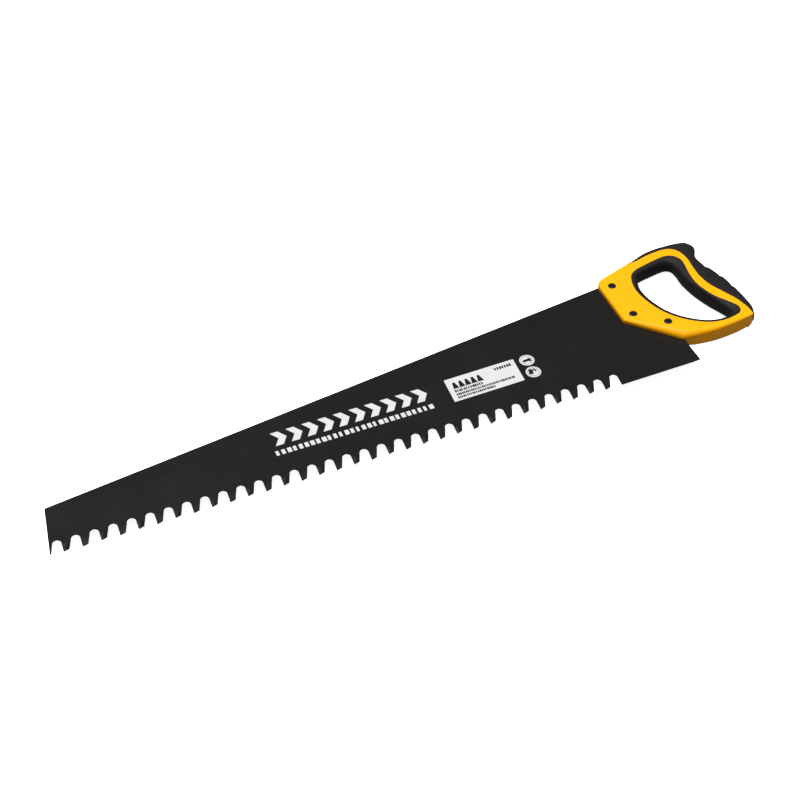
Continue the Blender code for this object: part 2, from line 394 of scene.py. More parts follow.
def turned(name: str, centre: Sequence[float], profile: Sequence[tuple[float, float]],
           sides: int = 48, spin: float = 0.0) -> bpy.types.Object:
    """A turned solid on an upright axis.

    Args:
        name: the object's name.
        centre: the axis in plan.
        profile: radius and height pairs from the bottom of the axis to its top.
        sides: stretches round the axis.
        spin: the first side's angle in degrees.

    Returns:
        The closed solid.
    """
    points, faces, rings = [], [], []
    for radius, z in profile:
        if radius == 0.0:
            rings.append([len(points)] * sides)
            points.append(PLAN.at(centre[0], centre[1], z))
            continue
        rings.append(list(range(len(points), len(points) + sides)))
        round_points = arc(centre, radius, spin, spin + 360.0, sides)[:-1]
        points += [PLAN.at(point.x, point.y, z) for point in round_points]
    for lower, upper in zip(rings, rings[1:]):
        for a in range(sides):
            b = (a + 1) % sides
            corners = dict.fromkeys((lower[a], lower[b], upper[b], upper[a]))
            faces.append(list(corners))
    return close_up(mesh_object(name, points, faces))


def cut(obj: bpy.types.Object, cutters: Sequence[bpy.types.Object], operation: str = "DIFFERENCE") -> None:
    """Runs exact Booleans on an object and removes the cutters.

    Args:
        obj: the object.
        cutters: the objects that it is cut with.
        operation: what each Boolean does.
    """
    for cutter in cutters:
        step = obj.modifiers.new(cutter.name, "BOOLEAN")
        step.operation = operation
        step.object = cutter
    settle(obj)
    discard(cutters)


def give_attribute(obj: bpy.types.Object, name: str, values: Sequence[float]) -> None:
    """Stores one number for each vertex."""
    layer = obj.data.attributes.new(name, "FLOAT", "POINT")
    layer.data.foreach_set("value", list(values))


# ---------------------------------------------------------------- geometry node trees


class NodeMaker:
    """Adds nodes to one tree and joins them."""

    tree: bpy.types.NodeTree

    def node(self, kind: str, **settings: Any) -> bpy.types.Node:
        """Adds a node.

        Args:
            kind: the node's type.
            settings: values for the node's own properties.

        Returns:
            The new node.
        """
        made = self.tree.nodes.new(kind)
        for key, value in settings.items():
            setattr(made, key, value)
        return made

    def join(self, source: Any, target: bpy.types.NodeSocket) -> None:
        """Feeds one socket.

        Args:
            source: the socket to link it to, or the value to set.
            target: the socket that is fed.
        """
        if isinstance(source, bpy.types.NodeSocket):
            self.tree.links.new(source, target)
        else:
            target.default_value = source

    def feed(self, node: bpy.types.Node, **sources: Any) -> bpy.types.Node:
        """Feeds a node's inputs.

        Args:
            node: the node.
            sources: sockets or values by the input's name, with _ for a space.

        Returns:
            The same node.
        """
        for key, source in sources.items():
            self.join(source, node.inputs[key.replace("_", " ")])
        return node

    def math(self, operation: str, *values: Any, clamp: bool = False) -> bpy.types.NodeSocket:
        """Adds a Math node.

        Args:
            operation: what it does.
            values: sockets or numbers for its inputs.
            clamp: whether the result stays between 0 and 1.

        Returns:
            The node's output.
        """
        made = self.node("ShaderNodeMath", operation=operation, use_clamp=clamp)
        for value, target in zip(values, made.inputs):
            self.join(value, target)
        return made.outputs[0]


class TreeMaker(NodeMaker):
    """Builds one geometry node tree with named inputs."""

    def __init__(self, name: str) -> None:
        """Starts a tree with a geometry input and output.

        Args:
            name: the tree's name.
        """
        self.tree = bpy.data.node_groups.new(name, "GeometryNodeTree")
        self.tree.is_modifier = True
        self.entry = self.node("NodeGroupInput")
        self.exit = self.node("NodeGroupOutput")
        self.geometry = self.input("Geometry", "Geometry")
        self.tree.interface.new_socket("Geometry", in_out="OUTPUT", socket_type="NodeSocketGeometry")

    def input(self, name: str, kind: str) -> bpy.types.NodeSocket:
        """A new named input of a socket kind, as the socket that it feeds from."""
        self.tree.interface.new_socket(name, in_out="INPUT", socket_type=f"NodeSocket{kind}")
        return self.entry.outputs[name]

    def inputs(self, **kinds: str) -> list[bpy.types.NodeSocket]:
        """Several new inputs by name, with _ for a space."""
        return [self.input(name.replace("_", " "), kind) for name, kind in kinds.items()]

    def vector(self, **parts: Any) -> bpy.types.NodeSocket:
        """A vector of the given parts X, Y and Z."""
        return self.feed(self.node("ShaderNodeCombineXYZ"), **parts).outputs[0]

    def attribute(self, name: str) -> bpy.types.NodeSocket:
        """A number stored on the points."""
        made = self.node("GeometryNodeInputNamedAttribute", data_type="FLOAT")
        return self.feed(made, Name=name).outputs[0]

    def chance(self, least: Any, most: Any, seed: Any) -> bpy.types.NodeSocket:
        """A random number for each point.

        Args:
            least: the lower bound.
            most: the upper bound.
            seed: the seed.

        Returns:
            The number's socket.
        """
        made = self.node("FunctionNodeRandomValue", data_type="FLOAT")
        for value, target in ((least, 2), (most, 3), (seed, "Seed")):
            self.join(value, made.inputs[target])
        return made.outputs[1]

    def instances(self, points: bpy.types.NodeSocket, source: bpy.types.NodeSocket,
                  **more: Any) -> bpy.types.NodeSocket:
        """Puts instances of an object on points.

        Args:
            points: the points.
            source: the object.
            more: other inputs of the node by name.

        Returns:
            The instances.
        """
        info = self.feed(self.node("GeometryNodeObjectInfo"), Object=source)
        made = self.node("GeometryNodeInstanceOnPoints")
        return self.feed(made, Points=points, Instance=info.outputs["Geometry"], **more).outputs[0]

    def real(self, geometry: bpy.types.NodeSocket) -> bpy.types.NodeSocket:
        """The instances as real geometry."""
        return self.feed(self.node("GeometryNodeRealizeInstances"), Geometry=geometry).outputs[0]

    def step_between(self, value: Any, low: Any, high: Any) -> bpy.types.NodeSocket:
        """A smooth step from 0 to 1 as a value goes from low to high."""
        made = self.node("ShaderNodeMapRange", interpolation_type="SMOOTHSTEP")
        return self.feed(made, Value=value, From_Min=low, From_Max=high).outputs[0]

    def end(self, geometry: bpy.types.NodeSocket) -> "TreeMaker":
        """Realizes instances, sets the material and closes the tree.

        Args:
            geometry: what the tree has made.

        Returns:
            The finished tree.
        """
        material = self.input("Material", "Material")
        dressed = self.feed(self.node("GeometryNodeSetMaterial"), Geometry=self.real(geometry),
                            Material=material)
        self.join(dressed.outputs[0], self.exit.inputs[0])
        return self

    def run(self, obj: bpy.types.Object, **values: Any) -> None:
        """Adds the tree to an object and sets its inputs by socket identifier.

        Args:
            obj: the object.
            values: the inputs' values by name, with _ for a space.
        """
        modifier = obj.modifiers.new(self.tree.name, "NODES")
        modifier.node_group = self.tree
        for item in self.tree.interface.items_tree:
            key = item.name.replace(" ", "_")
            if item.item_type == "SOCKET" and item.in_out == "INPUT" and key in values:
                modifier[item.identifier] = values[key]


def tooth_row_tree() -> TreeMaker:
    """Sets alternate teeth along a line and welds them to the plate above.

    Returns:
        The finished tree.
    """
    maker = TreeMaker("tooth_row")
    start, pitch, count = maker.inputs(Start="Vector", Pitch="Float", Count="Int")
    line = maker.node("GeometryNodeMeshLine", mode="OFFSET")
    maker.feed(line, Count=count, Start_Location=start, Offset=maker.vector(X=pitch))
    odd = maker.math("MODULO", maker.node("GeometryNodeInputIndex").outputs[0], 2.0)
    joined = maker.node("GeometryNodeJoinGeometry")
    maker.join(maker.geometry, joined.inputs[0])
    for name, chosen in (("Near Tooth", maker.math("SUBTRACT", 1.0, odd)), ("Far Tooth", odd)):
        teeth = maker.instances(line.outputs[0], maker.input(name, "Object"), Selection=chosen)
        maker.join(maker.real(teeth), joined.inputs[0])
    weld = maker.node("GeometryNodeMergeByDistance")
    return maker.end(maker.feed(weld, Geometry=joined.outputs[0], Distance=SEAM_WELD).outputs[0])


def motif_row_tree() -> TreeMaker:
    """Repeats a motif along a line, each cut to its own share of the length.

    Returns:
        The finished tree.
    """
    maker = TreeMaker("motif_row")
    motif, start, pitch, count, turn, least, seed = maker.inputs(
        Motif="Object", Start="Vector", Pitch="Float", Count="Int", Turn="Float", Least_Share="Float",
        Seed="Int")
    line = maker.node("GeometryNodeMeshLine", mode="OFFSET")
    maker.feed(line, Count=count, Offset=maker.vector(X=pitch))
    share = maker.vector(X=maker.chance(least, 1.0, seed), Y=1.0, Z=1.0)
    marks = maker.instances(line.outputs[0], motif, Scale=share)
    moved = maker.feed(maker.node("GeometryNodeTransform"), Geometry=maker.real(marks),
                       Translation=start, Rotation=maker.vector(Z=turn))
    return maker.end(moved.outputs[0])


def fastener_tree() -> TreeMaker:
    """Puts a fastener on each point, each with its own turn about its axis.

    Returns:
        The finished tree.
    """
    maker = TreeMaker("fasteners")
    fastener, seed = maker.inputs(Fastener="Object", Seed="Int")
    spin = maker.vector(Z=maker.chance(0.0, HEXAGON_STEP, seed))
    return maker.end(maker.instances(maker.geometry, fastener, Rotation=spin))


def grip_rib_tree() -> TreeMaker:
    """Cuts overlapping scales across the back of the grip.

    Returns:
        The finished tree.
    """
    maker = TreeMaker("grip_ribs")
    first, pitch, count, depth = maker.inputs(First="Float", Pitch="Float", Count="Float", Depth="Float")
    place = maker.math("DIVIDE", maker.math("SUBTRACT", maker.attribute("run"), first), pitch)
    along = maker.math("FRACT", place)
    rise = maker.math("SUBTRACT", maker.step_between(along, 0.0, 0.09), 1.0)
    fall = maker.math("MULTIPLY", maker.math("POWER", along, 2.2), -1.0)
    last = maker.math("SUBTRACT", count, 1.0)
    begun = maker.step_between(place, -0.8, -0.1)
    over = maker.step_between(place, last, maker.math("ADD", last, 0.7))
    across = maker.step_between(maker.attribute("lift"), 0.12, 0.5)
    height = maker.math("ADD", rise, fall)
    for factor in (depth, begun, maker.math("SUBTRACT", 1.0, over), across):
        height = maker.math("MULTIPLY", height, factor)
    flatter = maker.node("ShaderNodeVectorMath", operation="MULTIPLY")
    maker.join(maker.node("GeometryNodeInputNormal").outputs[0], flatter.inputs[0])
    maker.join((1.0, 1.0, 0.8), flatter.inputs[1])
    offset = maker.node("ShaderNodeVectorMath", operation="SCALE")
    maker.feed(offset, Vector=flatter.outputs[0], Scale=height)
    moved = maker.feed(maker.node("GeometryNodeSetPosition"), Geometry=maker.geometry,
                       Offset=offset.outputs[0])
    return maker.end(moved.outputs[0])


# ---------------------------------------------------------------- finishes


class EffectGroup(NodeMaker):
    """A shader node group whose outputs only vary over the surface."""

    def __init__(self, name: str, inputs: dict[str, float], outputs: Sequence[str]) -> None:
        """Starts a group with a vector input, number inputs and number outputs.

        Args:
            name: the group's name.
            inputs: the number inputs and their defaults.
            outputs: the outputs' names.
        """
        self.tree = bpy.data.node_groups.new(name, "ShaderNodeTree")
        sockets = self.tree.interface
        sockets.new_socket("Vector", in_out="INPUT", socket_type="NodeSocketVector")
        for key, value in inputs.items():
            made = sockets.new_socket(key, in_out="INPUT", socket_type="NodeSocketFloat")
            made.default_value = value
        for key in outputs:
            sockets.new_socket(key, in_out="OUTPUT", socket_type="NodeSocketFloat")
        self.entry = self.node("NodeGroupInput").outputs
        self.exit = self.node("NodeGroupOutput").inputs

    def noise(self, scale: Any, detail: float) -> bpy.types.NodeSocket:
        """The factor of a noise texture on the group's vector."""
        made = self.node("ShaderNodeTexNoise")
        return self.feed(made, Vector=self.entry["Vector"], Scale=scale, Detail=detail).outputs["Fac"]

    def put(self, name: str, source: bpy.types.NodeSocket) -> None:
        """Feeds one of the group's outputs."""
        self.join(source, self.exit[name])


def grain_group() -> EffectGroup:
    """Fine moulded or sprayed grain: a height and a slower change of tone.

    Returns:
        The group.
    """
    group = EffectGroup("surface_grain", {"Scale": 900.0, "Tone Scale": 40.0}, ("Height", "Tone"))
    fine = group.noise(group.entry["Scale"], 3.0)
    coarse = group.noise(group.math("MULTIPLY", group.entry["Scale"], 0.27), 1.0)
    group.put("Height", group.math("ADD", group.math("MULTIPLY", fine, 0.6),
                                   group.math("MULTIPLY", coarse, 0.4)))
    group.put("Tone", group.noise(group.entry["Tone Scale"], 4.0))
    return group


def wear_group() -> EffectGroup:
    """Worn edges: an edge mask broken up by noise.

    Returns:
        The group.
    """
    group = EffectGroup("edge_wear", {"Edge": 0.0, "Scale": 300.0, "Amount": 0.5}, ("Worn",))
    broken = group.math("MULTIPLY_ADD", group.noise(group.entry["Scale"], 5.0), 2.4, -0.75, clamp=True)
    worn = group.math("MULTIPLY", group.entry["Edge"], broken)
    group.put("Worn", group.math("MULTIPLY", worn, group.entry["Amount"], clamp=True))
    return group


def handling_group() -> EffectGroup:
    """Handling marks: soft smudges and sparse fine specks of dust.

    Returns:
        The group.
    """
    group = EffectGroup("handling_marks", {"Scale": 25.0, "Cover": 0.45}, ("Smudge", "Dust"))
    soft = group.math("SUBTRACT", group.noise(group.entry["Scale"], 3.0), group.entry["Cover"])
    group.put("Smudge", group.math("MULTIPLY", soft, 3.0, clamp=True))
    speck = group.noise(group.math("MULTIPLY", group.entry["Scale"], 55.0), 2.0)
    group.put("Dust", group.math("MULTIPLY", group.math("SUBTRACT", speck, 0.68), 9.0, clamp=True))
    return group


@dataclass
class Effects:
    """The effect groups that the finishes share."""

    grain: EffectGroup = field(default_factory=grain_group)
    wear: EffectGroup = field(default_factory=wear_group)
    handling: EffectGroup = field(default_factory=handling_group)


class Shade(NodeMaker):
    """A material under construction round one Principled shader."""

    def __init__(self, name: str, **constants: float) -> None:
        """Starts a material and sets its shader's constant sockets.

        Args:
            name: the material's name.
            constants: the sockets' values by name, with _ for a space.
        """
        self.material = bpy.data.materials.new(name)
        self.material.use_nodes = True
        self.tree = self.material.node_tree
        self.shader = self.feed(self.tree.nodes["Principled BSDF"], **constants)
        self.here = self.node("ShaderNodeTexCoord").outputs["Object"]

    def stretched(self, scale: tuple[float, float, float]) -> bpy.types.NodeSocket:
        """The surface's own coordinates, stretched on each axis."""
        return self.feed(self.node("ShaderNodeMapping"), Scale=scale, Vector=self.here).outputs[0]

    def effect(self, group: EffectGroup, vector: Optional[bpy.types.NodeSocket] = None,
               **values: Any) -> bpy.types.bpy_prop_collection:
        """Places an effect group.

        Args:
            group: the group.
            vector: its coordinates, where they aren't the surface's own.
            values: its other inputs by name, with _ for a space.

        Returns:
            The group's outputs.
        """
        made = self.node("ShaderNodeGroup", node_tree=group.tree)
        return self.feed(made, Vector=vector or self.here, **values).outputs

    def attribute(self, name: str) -> bpy.types.NodeSocket:
        """A number stored on the piece's vertices."""
        return self.node("ShaderNodeAttribute", attribute_name=name).outputs["Fac"]

    def between(self, mask: bpy.types.NodeSocket, low: Any, high: Any) -> bpy.types.NodeSocket:
        """A number that goes from low to high as a mask goes from 0 to 1."""
        return self.feed(self.node("ShaderNodeMapRange"), Value=mask, To_Min=low, To_Max=high).outputs[0]

    def mixed(self, mask: bpy.types.NodeSocket, low: Any, high: Any) -> bpy.types.NodeSocket:
        """Mixes two colours.

        Args:
            mask: how much of the second colour there is.
            low: the first colour, as a socket or three numbers.
            high: the second colour.

        Returns:
            The mixed colour.
        """
        made = self.node("ShaderNodeMix", data_type="RGBA")
        self.join(mask, made.inputs[0])
        for value, target in ((low, made.inputs[6]), (high, made.inputs[7])):
            self.join(value if isinstance(value, bpy.types.NodeSocket) else (*value, 1.0), target)
        return made.outputs[2]

    def bump(self, height: bpy.types.NodeSocket, strength: float, distance: float) -> None:
        """Feeds the shader's normal from a height."""
        made = self.feed(self.node("ShaderNodeBump"), Strength=strength, Distance=distance, Height=height)
        self.join(made.outputs[0], self.shader.inputs["Normal"])

    def wear(self, colour: bpy.types.NodeSocket, roughness: bpy.types.NodeSocket,
             metallic: Optional[bpy.types.NodeSocket] = None) -> bpy.types.Material:
        """Feeds the shader's main sockets.

        Args:
            colour: the base colour.
            roughness: the roughness.
            metallic: how metallic the surface is, where that varies.

        Returns:
            The material.
        """
        self.feed(self.shader, Base_Color=colour, Roughness=roughness)
        if metallic is not None:
            self.join(metallic, self.shader.inputs["Metallic"])
        return self.material


@dataclass(frozen=True)
class BladeLacquer:
    """Satin black lacquer over rolled steel, thin where a tooth was ground."""

    dark: tuple = (0.0042, 0.0042, 0.0044)
    light: tuple = (0.006, 0.006, 0.006)
    ground: tuple = (0.06, 0.06, 0.062)
    grain_scale: float = 1500.0
    streaks: tuple = (6.0, 260.0, 260.0)

    def build(self, effects: Effects) -> bpy.types.Material:
        """Builds the material.

        Args:
            effects: the shared effect groups.

        Returns:
            The material.
        """
        shade = Shade("blade_lacquer", Specular_IOR_Level=0.2)
        grain = shade.effect(effects.grain, Scale=self.grain_scale, Tone_Scale=14.0)
        rolled = shade.effect(effects.grain, shade.stretched(self.streaks), Scale=1.0, Tone_Scale=0.4)
        marks = shade.effect(effects.handling, Scale=18.0, Cover=0.5)
        worn = shade.effect(effects.wear, Edge=shade.attribute("ground"), Scale=420.0, Amount=1.0)
        body = shade.mixed(rolled["Height"], self.dark, self.light)
        dusty = shade.mixed(shade.between(marks["Dust"], 0.0, 0.25), body, (0.02, 0.02, 0.02))
        colour = shade.mixed(worn["Worn"], dusty, self.ground)
        rough = shade.between(grain["Tone"], 0.32, 0.38)
        rough = shade.between(marks["Smudge"], rough, 0.42)
        rough = shade.between(worn["Worn"], rough, 0.34)
        shade.bump(grain["Height"], 0.12, 0.00006)
        return shade.wear(colour, rough, shade.between(worn["Worn"], 0.0, 0.8))


@dataclass(frozen=True)
class YellowMoulding:
    """Hard yellow plastic with a fine spark-eroded texture, slightly rubbed on its edges and painted lighter
    there as a highlight.
    """

    body: tuple = (0.88, 0.372, 0.0015)
    deep: tuple = (0.84, 0.347, 0.0015)
    # lighter yellow for the rounded edges: rubbed wear together with a painted highlight where they catch
    # the light
    rubbed_and_highlight: tuple = (0.9, 0.4, 0.003)
    grain_scale: float = 1900.0

    def build(self, effects: Effects) -> bpy.types.Material:
        """Builds the material.

        Args:
            effects: the shared effect groups.

        Returns:
            The material.
        """
        shade = Shade("yellow_moulding", Specular_IOR_Level=0.1)
        grain = shade.effect(effects.grain, Scale=self.grain_scale, Tone_Scale=22.0)
        marks = shade.effect(effects.handling, Scale=30.0, Cover=0.5)
        # the edge mask, broken by noise, paints the rounded edges lighter: partly rubbed wear, partly a
        # painted highlight
        worn = shade.effect(effects.wear, Edge=shade.attribute("edge"), Scale=260.0, Amount=0.55)
        colour = shade.mixed(grain["Tone"], self.deep, self.body)
        colour = shade.mixed(worn["Worn"], colour, self.rubbed_and_highlight)
        colour = shade.mixed(shade.between(marks["Dust"], 0.0, 0.2), colour, (0.5, 0.26, 0.04))
        rough = shade.between(grain["Height"], 0.4, 0.52)
        rough = shade.between(worn["Worn"], rough, 0.44)
        rough = shade.between(marks["Smudge"], rough, 0.46)
        shade.bump(grain["Height"], 0.22, 0.00008)
        return shade.wear(colour, rough)


@dataclass(frozen=True)
class GripRubber:
    """Soft charcoal rubber with a matt skin that greys on the high spots."""

    body: tuple = (0.0042, 0.0035, 0.0038)
    light: tuple = (0.0078, 0.0064, 0.0072)
    dust: tuple = (0.03, 0.026, 0.026)
    grain_scale: float = 1300.0

    def build(self, effects: Effects) -> bpy.types.Material:
        """Builds the material.

        Args:
            effects: the shared effect groups.

        Returns:
            The material.
        """
        shade = Shade("grip_rubber_skin", Specular_IOR_Level=0.22, Sheen_Weight=0.015, Sheen_Roughness=0.4)
        grain = shade.effect(effects.grain, Scale=self.grain_scale, Tone_Scale=60.0)
        marks = shade.effect(effects.handling, Scale=40.0, Cover=0.48)
        worn = shade.effect(effects.wear, Edge=shade.attribute("lift"), Scale=150.0, Amount=0.35)
        colour = shade.mixed(grain["Tone"], self.body, self.light)
        colour = shade.mixed(worn["Worn"], colour, self.light)
        colour = shade.mixed(shade.between(marks["Dust"], 0.0, 0.3), colour, self.dust)
        rough = shade.between(grain["Height"], 0.56, 0.74)
        rough = shade.between(marks["Smudge"], rough, 0.6)
        shade.bump(grain["Height"], 0.45, 0.00018)
        return shade.wear(colour, rough)


@dataclass(frozen=True)
class BlackenedSteel:
    """Blackened steel of the fasteners, bright where a key has rubbed it."""

    body: tuple = (0.009, 0.008, 0.008)
    bare: tuple = (0.03, 0.026, 0.023)
    grain_scale: float = 2600.0

    def build(self, effects: Effects) -> bpy.types.Material:
        """Builds the material.

        Args:
            effects: the shared effect groups.

        Returns:
            The material.
        """
        shade = Shade("blackened_steel", Specular_IOR_Level=0.3)
        grain = shade.effect(effects.grain, Scale=self.grain_scale, Tone_Scale=500.0)
        worn = shade.effect(effects.wear, Edge=shade.attribute("edge"), Scale=900.0, Amount=0.6)
        colour = shade.mixed(grain["Tone"], self.body, (0.014, 0.013, 0.012))
        colour = shade.mixed(worn["Worn"], colour, self.bare)
        rough = shade.between(grain["Height"], 0.42, 0.58)
        shade.bump(grain["Height"], 0.2, 0.00004)
        return shade.wear(colour, rough, shade.between(grain["Tone"], 0.3, 0.5))


@dataclass(frozen=True)
class PrintedWhite:
    """Screen-printed white ink with a faint mottle and a few rubbed specks."""

    body: tuple = (0.56, 0.56, 0.56)
    thin: tuple = (0.48, 0.48, 0.485)
    grain_scale: float = 1100.0

    def build(self, effects: Effects) -> bpy.types.Material:
        """Builds the material.

        Args:
            effects: the shared effect groups.

        Returns:
            The material.
        """
        shade = Shade("printed_white", Specular_IOR_Level=0.35)
        grain = shade.effect(effects.grain, Scale=self.grain_scale, Tone_Scale=120.0)
        marks = shade.effect(effects.handling, Scale=60.0, Cover=0.5)
        colour = shade.mixed(grain["Tone"], self.thin, self.body)
        colour = shade.mixed(shade.between(marks["Dust"], 0.0, 0.5), colour, (0.2, 0.2, 0.2))
        rough = shade.between(grain["Height"], 0.45, 0.6)
        shade.bump(grain["Height"], 0.12, 0.00003)
        return shade.wear(colour, rough)


@dataclass(frozen=True)
class PaleFloor:
    """A plain matt studio floor, lit from below like a light table."""

    colour: tuple = (0.9, 0.9, 0.9)
    bounce: tuple = (0.3, 0.3, 0.3)
    glow: float = 0.92

    def build(self, effects: Effects) -> bpy.types.Material:
        """Builds the material.

        Args:
            effects: the shared effect groups.

        Returns:
            The material.
        """
        shade = Shade("pale_floor", Specular_IOR_Level=0.05)
        grain = shade.effect(effects.grain, Scale=60.0, Tone_Scale=3.0)
        seen = shade.node("ShaderNodeLightPath").outputs["Is Camera Ray"]
        shade.feed(shade.shader, Emission_Color=(1.0, 1.0, 1.0, 1.0),
                   Emission_Strength=shade.between(seen, 0.0, self.glow))
        colour = shade.mixed(seen, self.bounce, self.colour)
        return shade.wear(colour, shade.between(grain["Height"], 0.85, 0.95))


@dataclass
class FinishBook:
    """Every finish, built once."""

    effects: Effects = field(default_factory=Effects)

    def __post_init__(self) -> None:
        """Builds the materials."""
        self.blade = BladeLacquer().build(self.effects)
        self.yellow = YellowMoulding().build(self.effects)
        self.rubber = GripRubber().build(self.effects)
        self.steel = BlackenedSteel().build(self.effects)
        self.white = PrintedWhite().build(self.effects)
        self.floor = PaleFloor().build(self.effects)


def hand_over(piece: bpy.types.Object, slot: Slot, finish: Optional[bpy.types.Material] = None,
              stands_for: Sequence[str] = ()) -> None:
    """Rides a finished piece on the saw's body.

    Args:
        piece: the finished piece.
        slot: the record's slot that its finish belongs to.
        finish: its material, where the piece doesn't have it yet.
        stands_for: the CAD nodes that the piece replaces.
    """
    if finish is not None:
        piece.data.materials.clear()
        piece.data.materials.append(finish)
    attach(piece, BODY)
    if stands_for:
        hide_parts(*stands_for)
    log.info("%s: %d faces, finish %s", piece.name, len(piece.data.polygons), slot.value)


# ---------------------------------------------------------------- the blade


@dataclass
class SawPlate:
    """The toothed steel plate."""

    thickness: float = 1.6
    toe_top: tuple = (9.8, 60.9)
    heel: tuple = (702.0, 2.1)
    tang: tuple = ((700.5, 60.5), (693.0, 72.0), (684.0, 90.0), (681.0, 105.0), (681.0, 136.0),
                   (673.0, 147.8))
    first_tooth: float = 12.9
    pitch: float = 18.63
    teeth: int = 33
    gullet_radius: float = 4.5
    gullet_centre: tuple = (-3.4, 12.8)     # from the cutting point behind the gullet
    land_end: tuple = (6.33, 2.0)           # from the cutting point to the back of its land
    toe_extra: float = 0.7                  # how much wider the toe's point is than a tooth's share
    seam: float = 20.0                      # height of the seam between the teeth and the plate
    toe_flank_end: float = -4.0             # arc angle where the gullet meets a tooth's toe side
    back_flank_end: float = 170.0           # arc angle where it meets a tooth's back
    flank_rows: int = 7
    arc_rows: int = 8
    columns: tuple = (0.0, 0.14, 0.3, 0.5, 0.75, 1.0)
    set_depth: float = 0.6                  # how far a cutting point is bent off the plate
    set_height: float = 9.5                 # height of the bend's foot
    set_curve: float = 1.3                  # power that the bend grows by
    ground_depth: float = 0.4               # how deep the ground facet takes the toe side
    ground_share: float = 0.5               # the facet's share of the tooth's width
    ground_top: float = 10.5
    ground_fade: float = 4.0                # height over which the facet runs out
    bare_depth: float = 0.25                # share of the facet's depth from which the steel is bare
    bare_top: float = 0.8                   # share of the facet's height that is bare
    chamfer: float = 0.12
    sharp_above: float = 50.0               # angle in degrees

    def flank(self, start: Vector, gullet: float, angle: float) -> list[Vector]:
        """One edge of a tooth cell.

        Args:
            start: the edge's lowest point.
            gullet: X of the gullet's centre.
            angle: arc angle where the straight flank meets the gullet.

        Returns:
            Points from the land to the gullet's crest.
        """
        centre = (gullet, self.gullet_centre[1])
        curve = arc(centre, self.gullet_radius, angle, 90.0, self.arc_rows)
        straight = [start.lerp(curve[0], i / self.flank_rows) for i in range(self.flank_rows)]
        return straight + curve

    def tooth_cell(self, name: str, side: Side) -> bpy.types.Object:
        """One pitch of the blade under the seam, with its tooth set and ground to one side.

        Args:
            name: the cell's name.
            side: the side that the tooth is bent to.

        Returns:
            A mesh about the cutting point, open along the seam and towards its neighbours.
        """
        left = self.flank(Vector((0, 0)), self.gullet_centre[0], self.toe_flank_end)
        right = self.flank(Vector(self.land_end), self.pitch + self.gullet_centre[0], self.back_flank_end)
        left.append(Vector((left[-1].x, self.seam)))
        right.append(Vector((right[-1].x, self.seam)))
        points, faces, ground = [], [], []
        wide = len(self.columns)
        tall = len(left)
        for face in (Side.NEAR, Side.FAR):
            for a, b in zip(left, right):
                for share in self.columns:
                    here = a.lerp(b, share)
                    lean = max(0.0, 1 - here.y / self.set_height) ** self.set_curve
                    bent = self.set_depth * lean * side.value
                    facet = self.facet_share(share, here.y) if face is side else 0.0
                    z = face.value * (self.thickness / 2 - self.ground_depth * facet) + bent
                    points.append(Vector((here.x, here.y, z)) * MM)
                    bare = facet > self.bare_depth and here.y < self.ground_top * self.bare_top
                    ground.append(1.0 if bare else 0.0)
        back = wide * tall
        for j in range(tall - 1):
            for i in range(wide - 1):
                a = j * wide + i
                faces.append((a, a + 1, a + wide + 1, a + wide))
                faces.append((back + a, back + a + wide, back + a + wide + 1, back + a + 1))
        for j in range(tall - 2):
            for i in (0, wide - 1):
                a = j * wide + i
                wall = (a, a + wide, back + a + wide, back + a)
                faces.append(wall if i == 0 else tuple(reversed(wall)))
        faces += [(i, back + i, back + i + 1, i + 1) for i in range(wide - 1)]
        cell = mesh_object(name, points, faces)
        give_attribute(cell, "ground", ground)
        return cell

    def facet_share(self, share: float, height: float) -> float:
        """How deep the ground facet is at a share of the tooth's width and a height, from 0 to 1."""
        across = max(0.0, 1 - share / self.ground_share)
        return across * eased((self.ground_top - height) / self.ground_fade)

    def outline(self) -> tuple[list[Vector], list[int]]:
        """Draws the plate's rim.

        Returns:
            The rim's points, and the stretches of it that lie on the seam.
        """
        crest_first = self.first_tooth + self.gullet_centre[0]
        crest_last = crest_first + (self.teeth - 1) * self.pitch
        toe_x = self.first_tooth + self.land_end[0] - self.pitch + self.toe_extra
        toe_end = Vector((toe_x, self.land_end[1]))
        rim = [Vector(self.toe_top), Vector(TOE_TIP)]
        rim += self.flank(toe_end, crest_first, self.back_flank_end)
        seam_start = len(rim) - 1
        for k in range(self.teeth - 1):
            left = crest_first + k * self.pitch
            rim += [Vector((left + share * self.pitch, self.seam)) for share in self.columns[:-1]]
        rim.append(Vector((crest_last, self.seam)))
        last_point = Vector((crest_last - self.gullet_centre[0], 0.0))
        heel_side = self.flank(last_point, crest_last, self.toe_flank_end)
        seam_end = len(rim)
        rim += reversed(heel_side)
        rim.append(Vector(self.heel))
        rim += [Vector(point) for point in self.tang]
        return rim, list(range(seam_start, seam_end))

    def build(self, book: FinishBook, screws: Sequence[tuple[float, float]], hole: float) -> None:
        """Builds the plate, welds its teeth on and hands it over.

        Args:
            book: the finishes.
            screws: the plan points of the screw holes.
            hole: the holes' radius.
        """
        half = self.thickness / 2
        rim, on_seam = self.outline()
        holes = [circle(point, hole, 32) for point in screws]
        body = plate("saw_plate", [rim, *holes], -half, half, on_seam)
        give_attribute(body, "ground", [0.0] * len(body.data.vertices))
        near = self.tooth_cell("near_tooth", Side.NEAR)
        far = self.tooth_cell("far_tooth", Side.FAR)
        tooth_row_tree().run(body, Start=PLAN.at(self.first_tooth, 0.0), Pitch=self.pitch * MM,
                             Count=self.teeth - 1, Near_Tooth=near, Far_Tooth=far, Material=book.blade)
        settle(body)
        discard([near, far])
        close_up(body)
        edge = body.modifiers.new("chamfer", "BEVEL")
        edge.width = self.chamfer * MM
        edge.segments = 2
        edge.limit_method = "ANGLE"
        edge.angle_limit = math.radians(self.sharp_above)
        settle(body)
        even_shading(body, self.sharp_above)
        hand_over(body, Slot.BLADE, stands_for=["blade"])


# ---------------------------------------------------------------- the handle


SCREW_PLACES = ((665.5, 136), (666, 86.5), (694, 60))

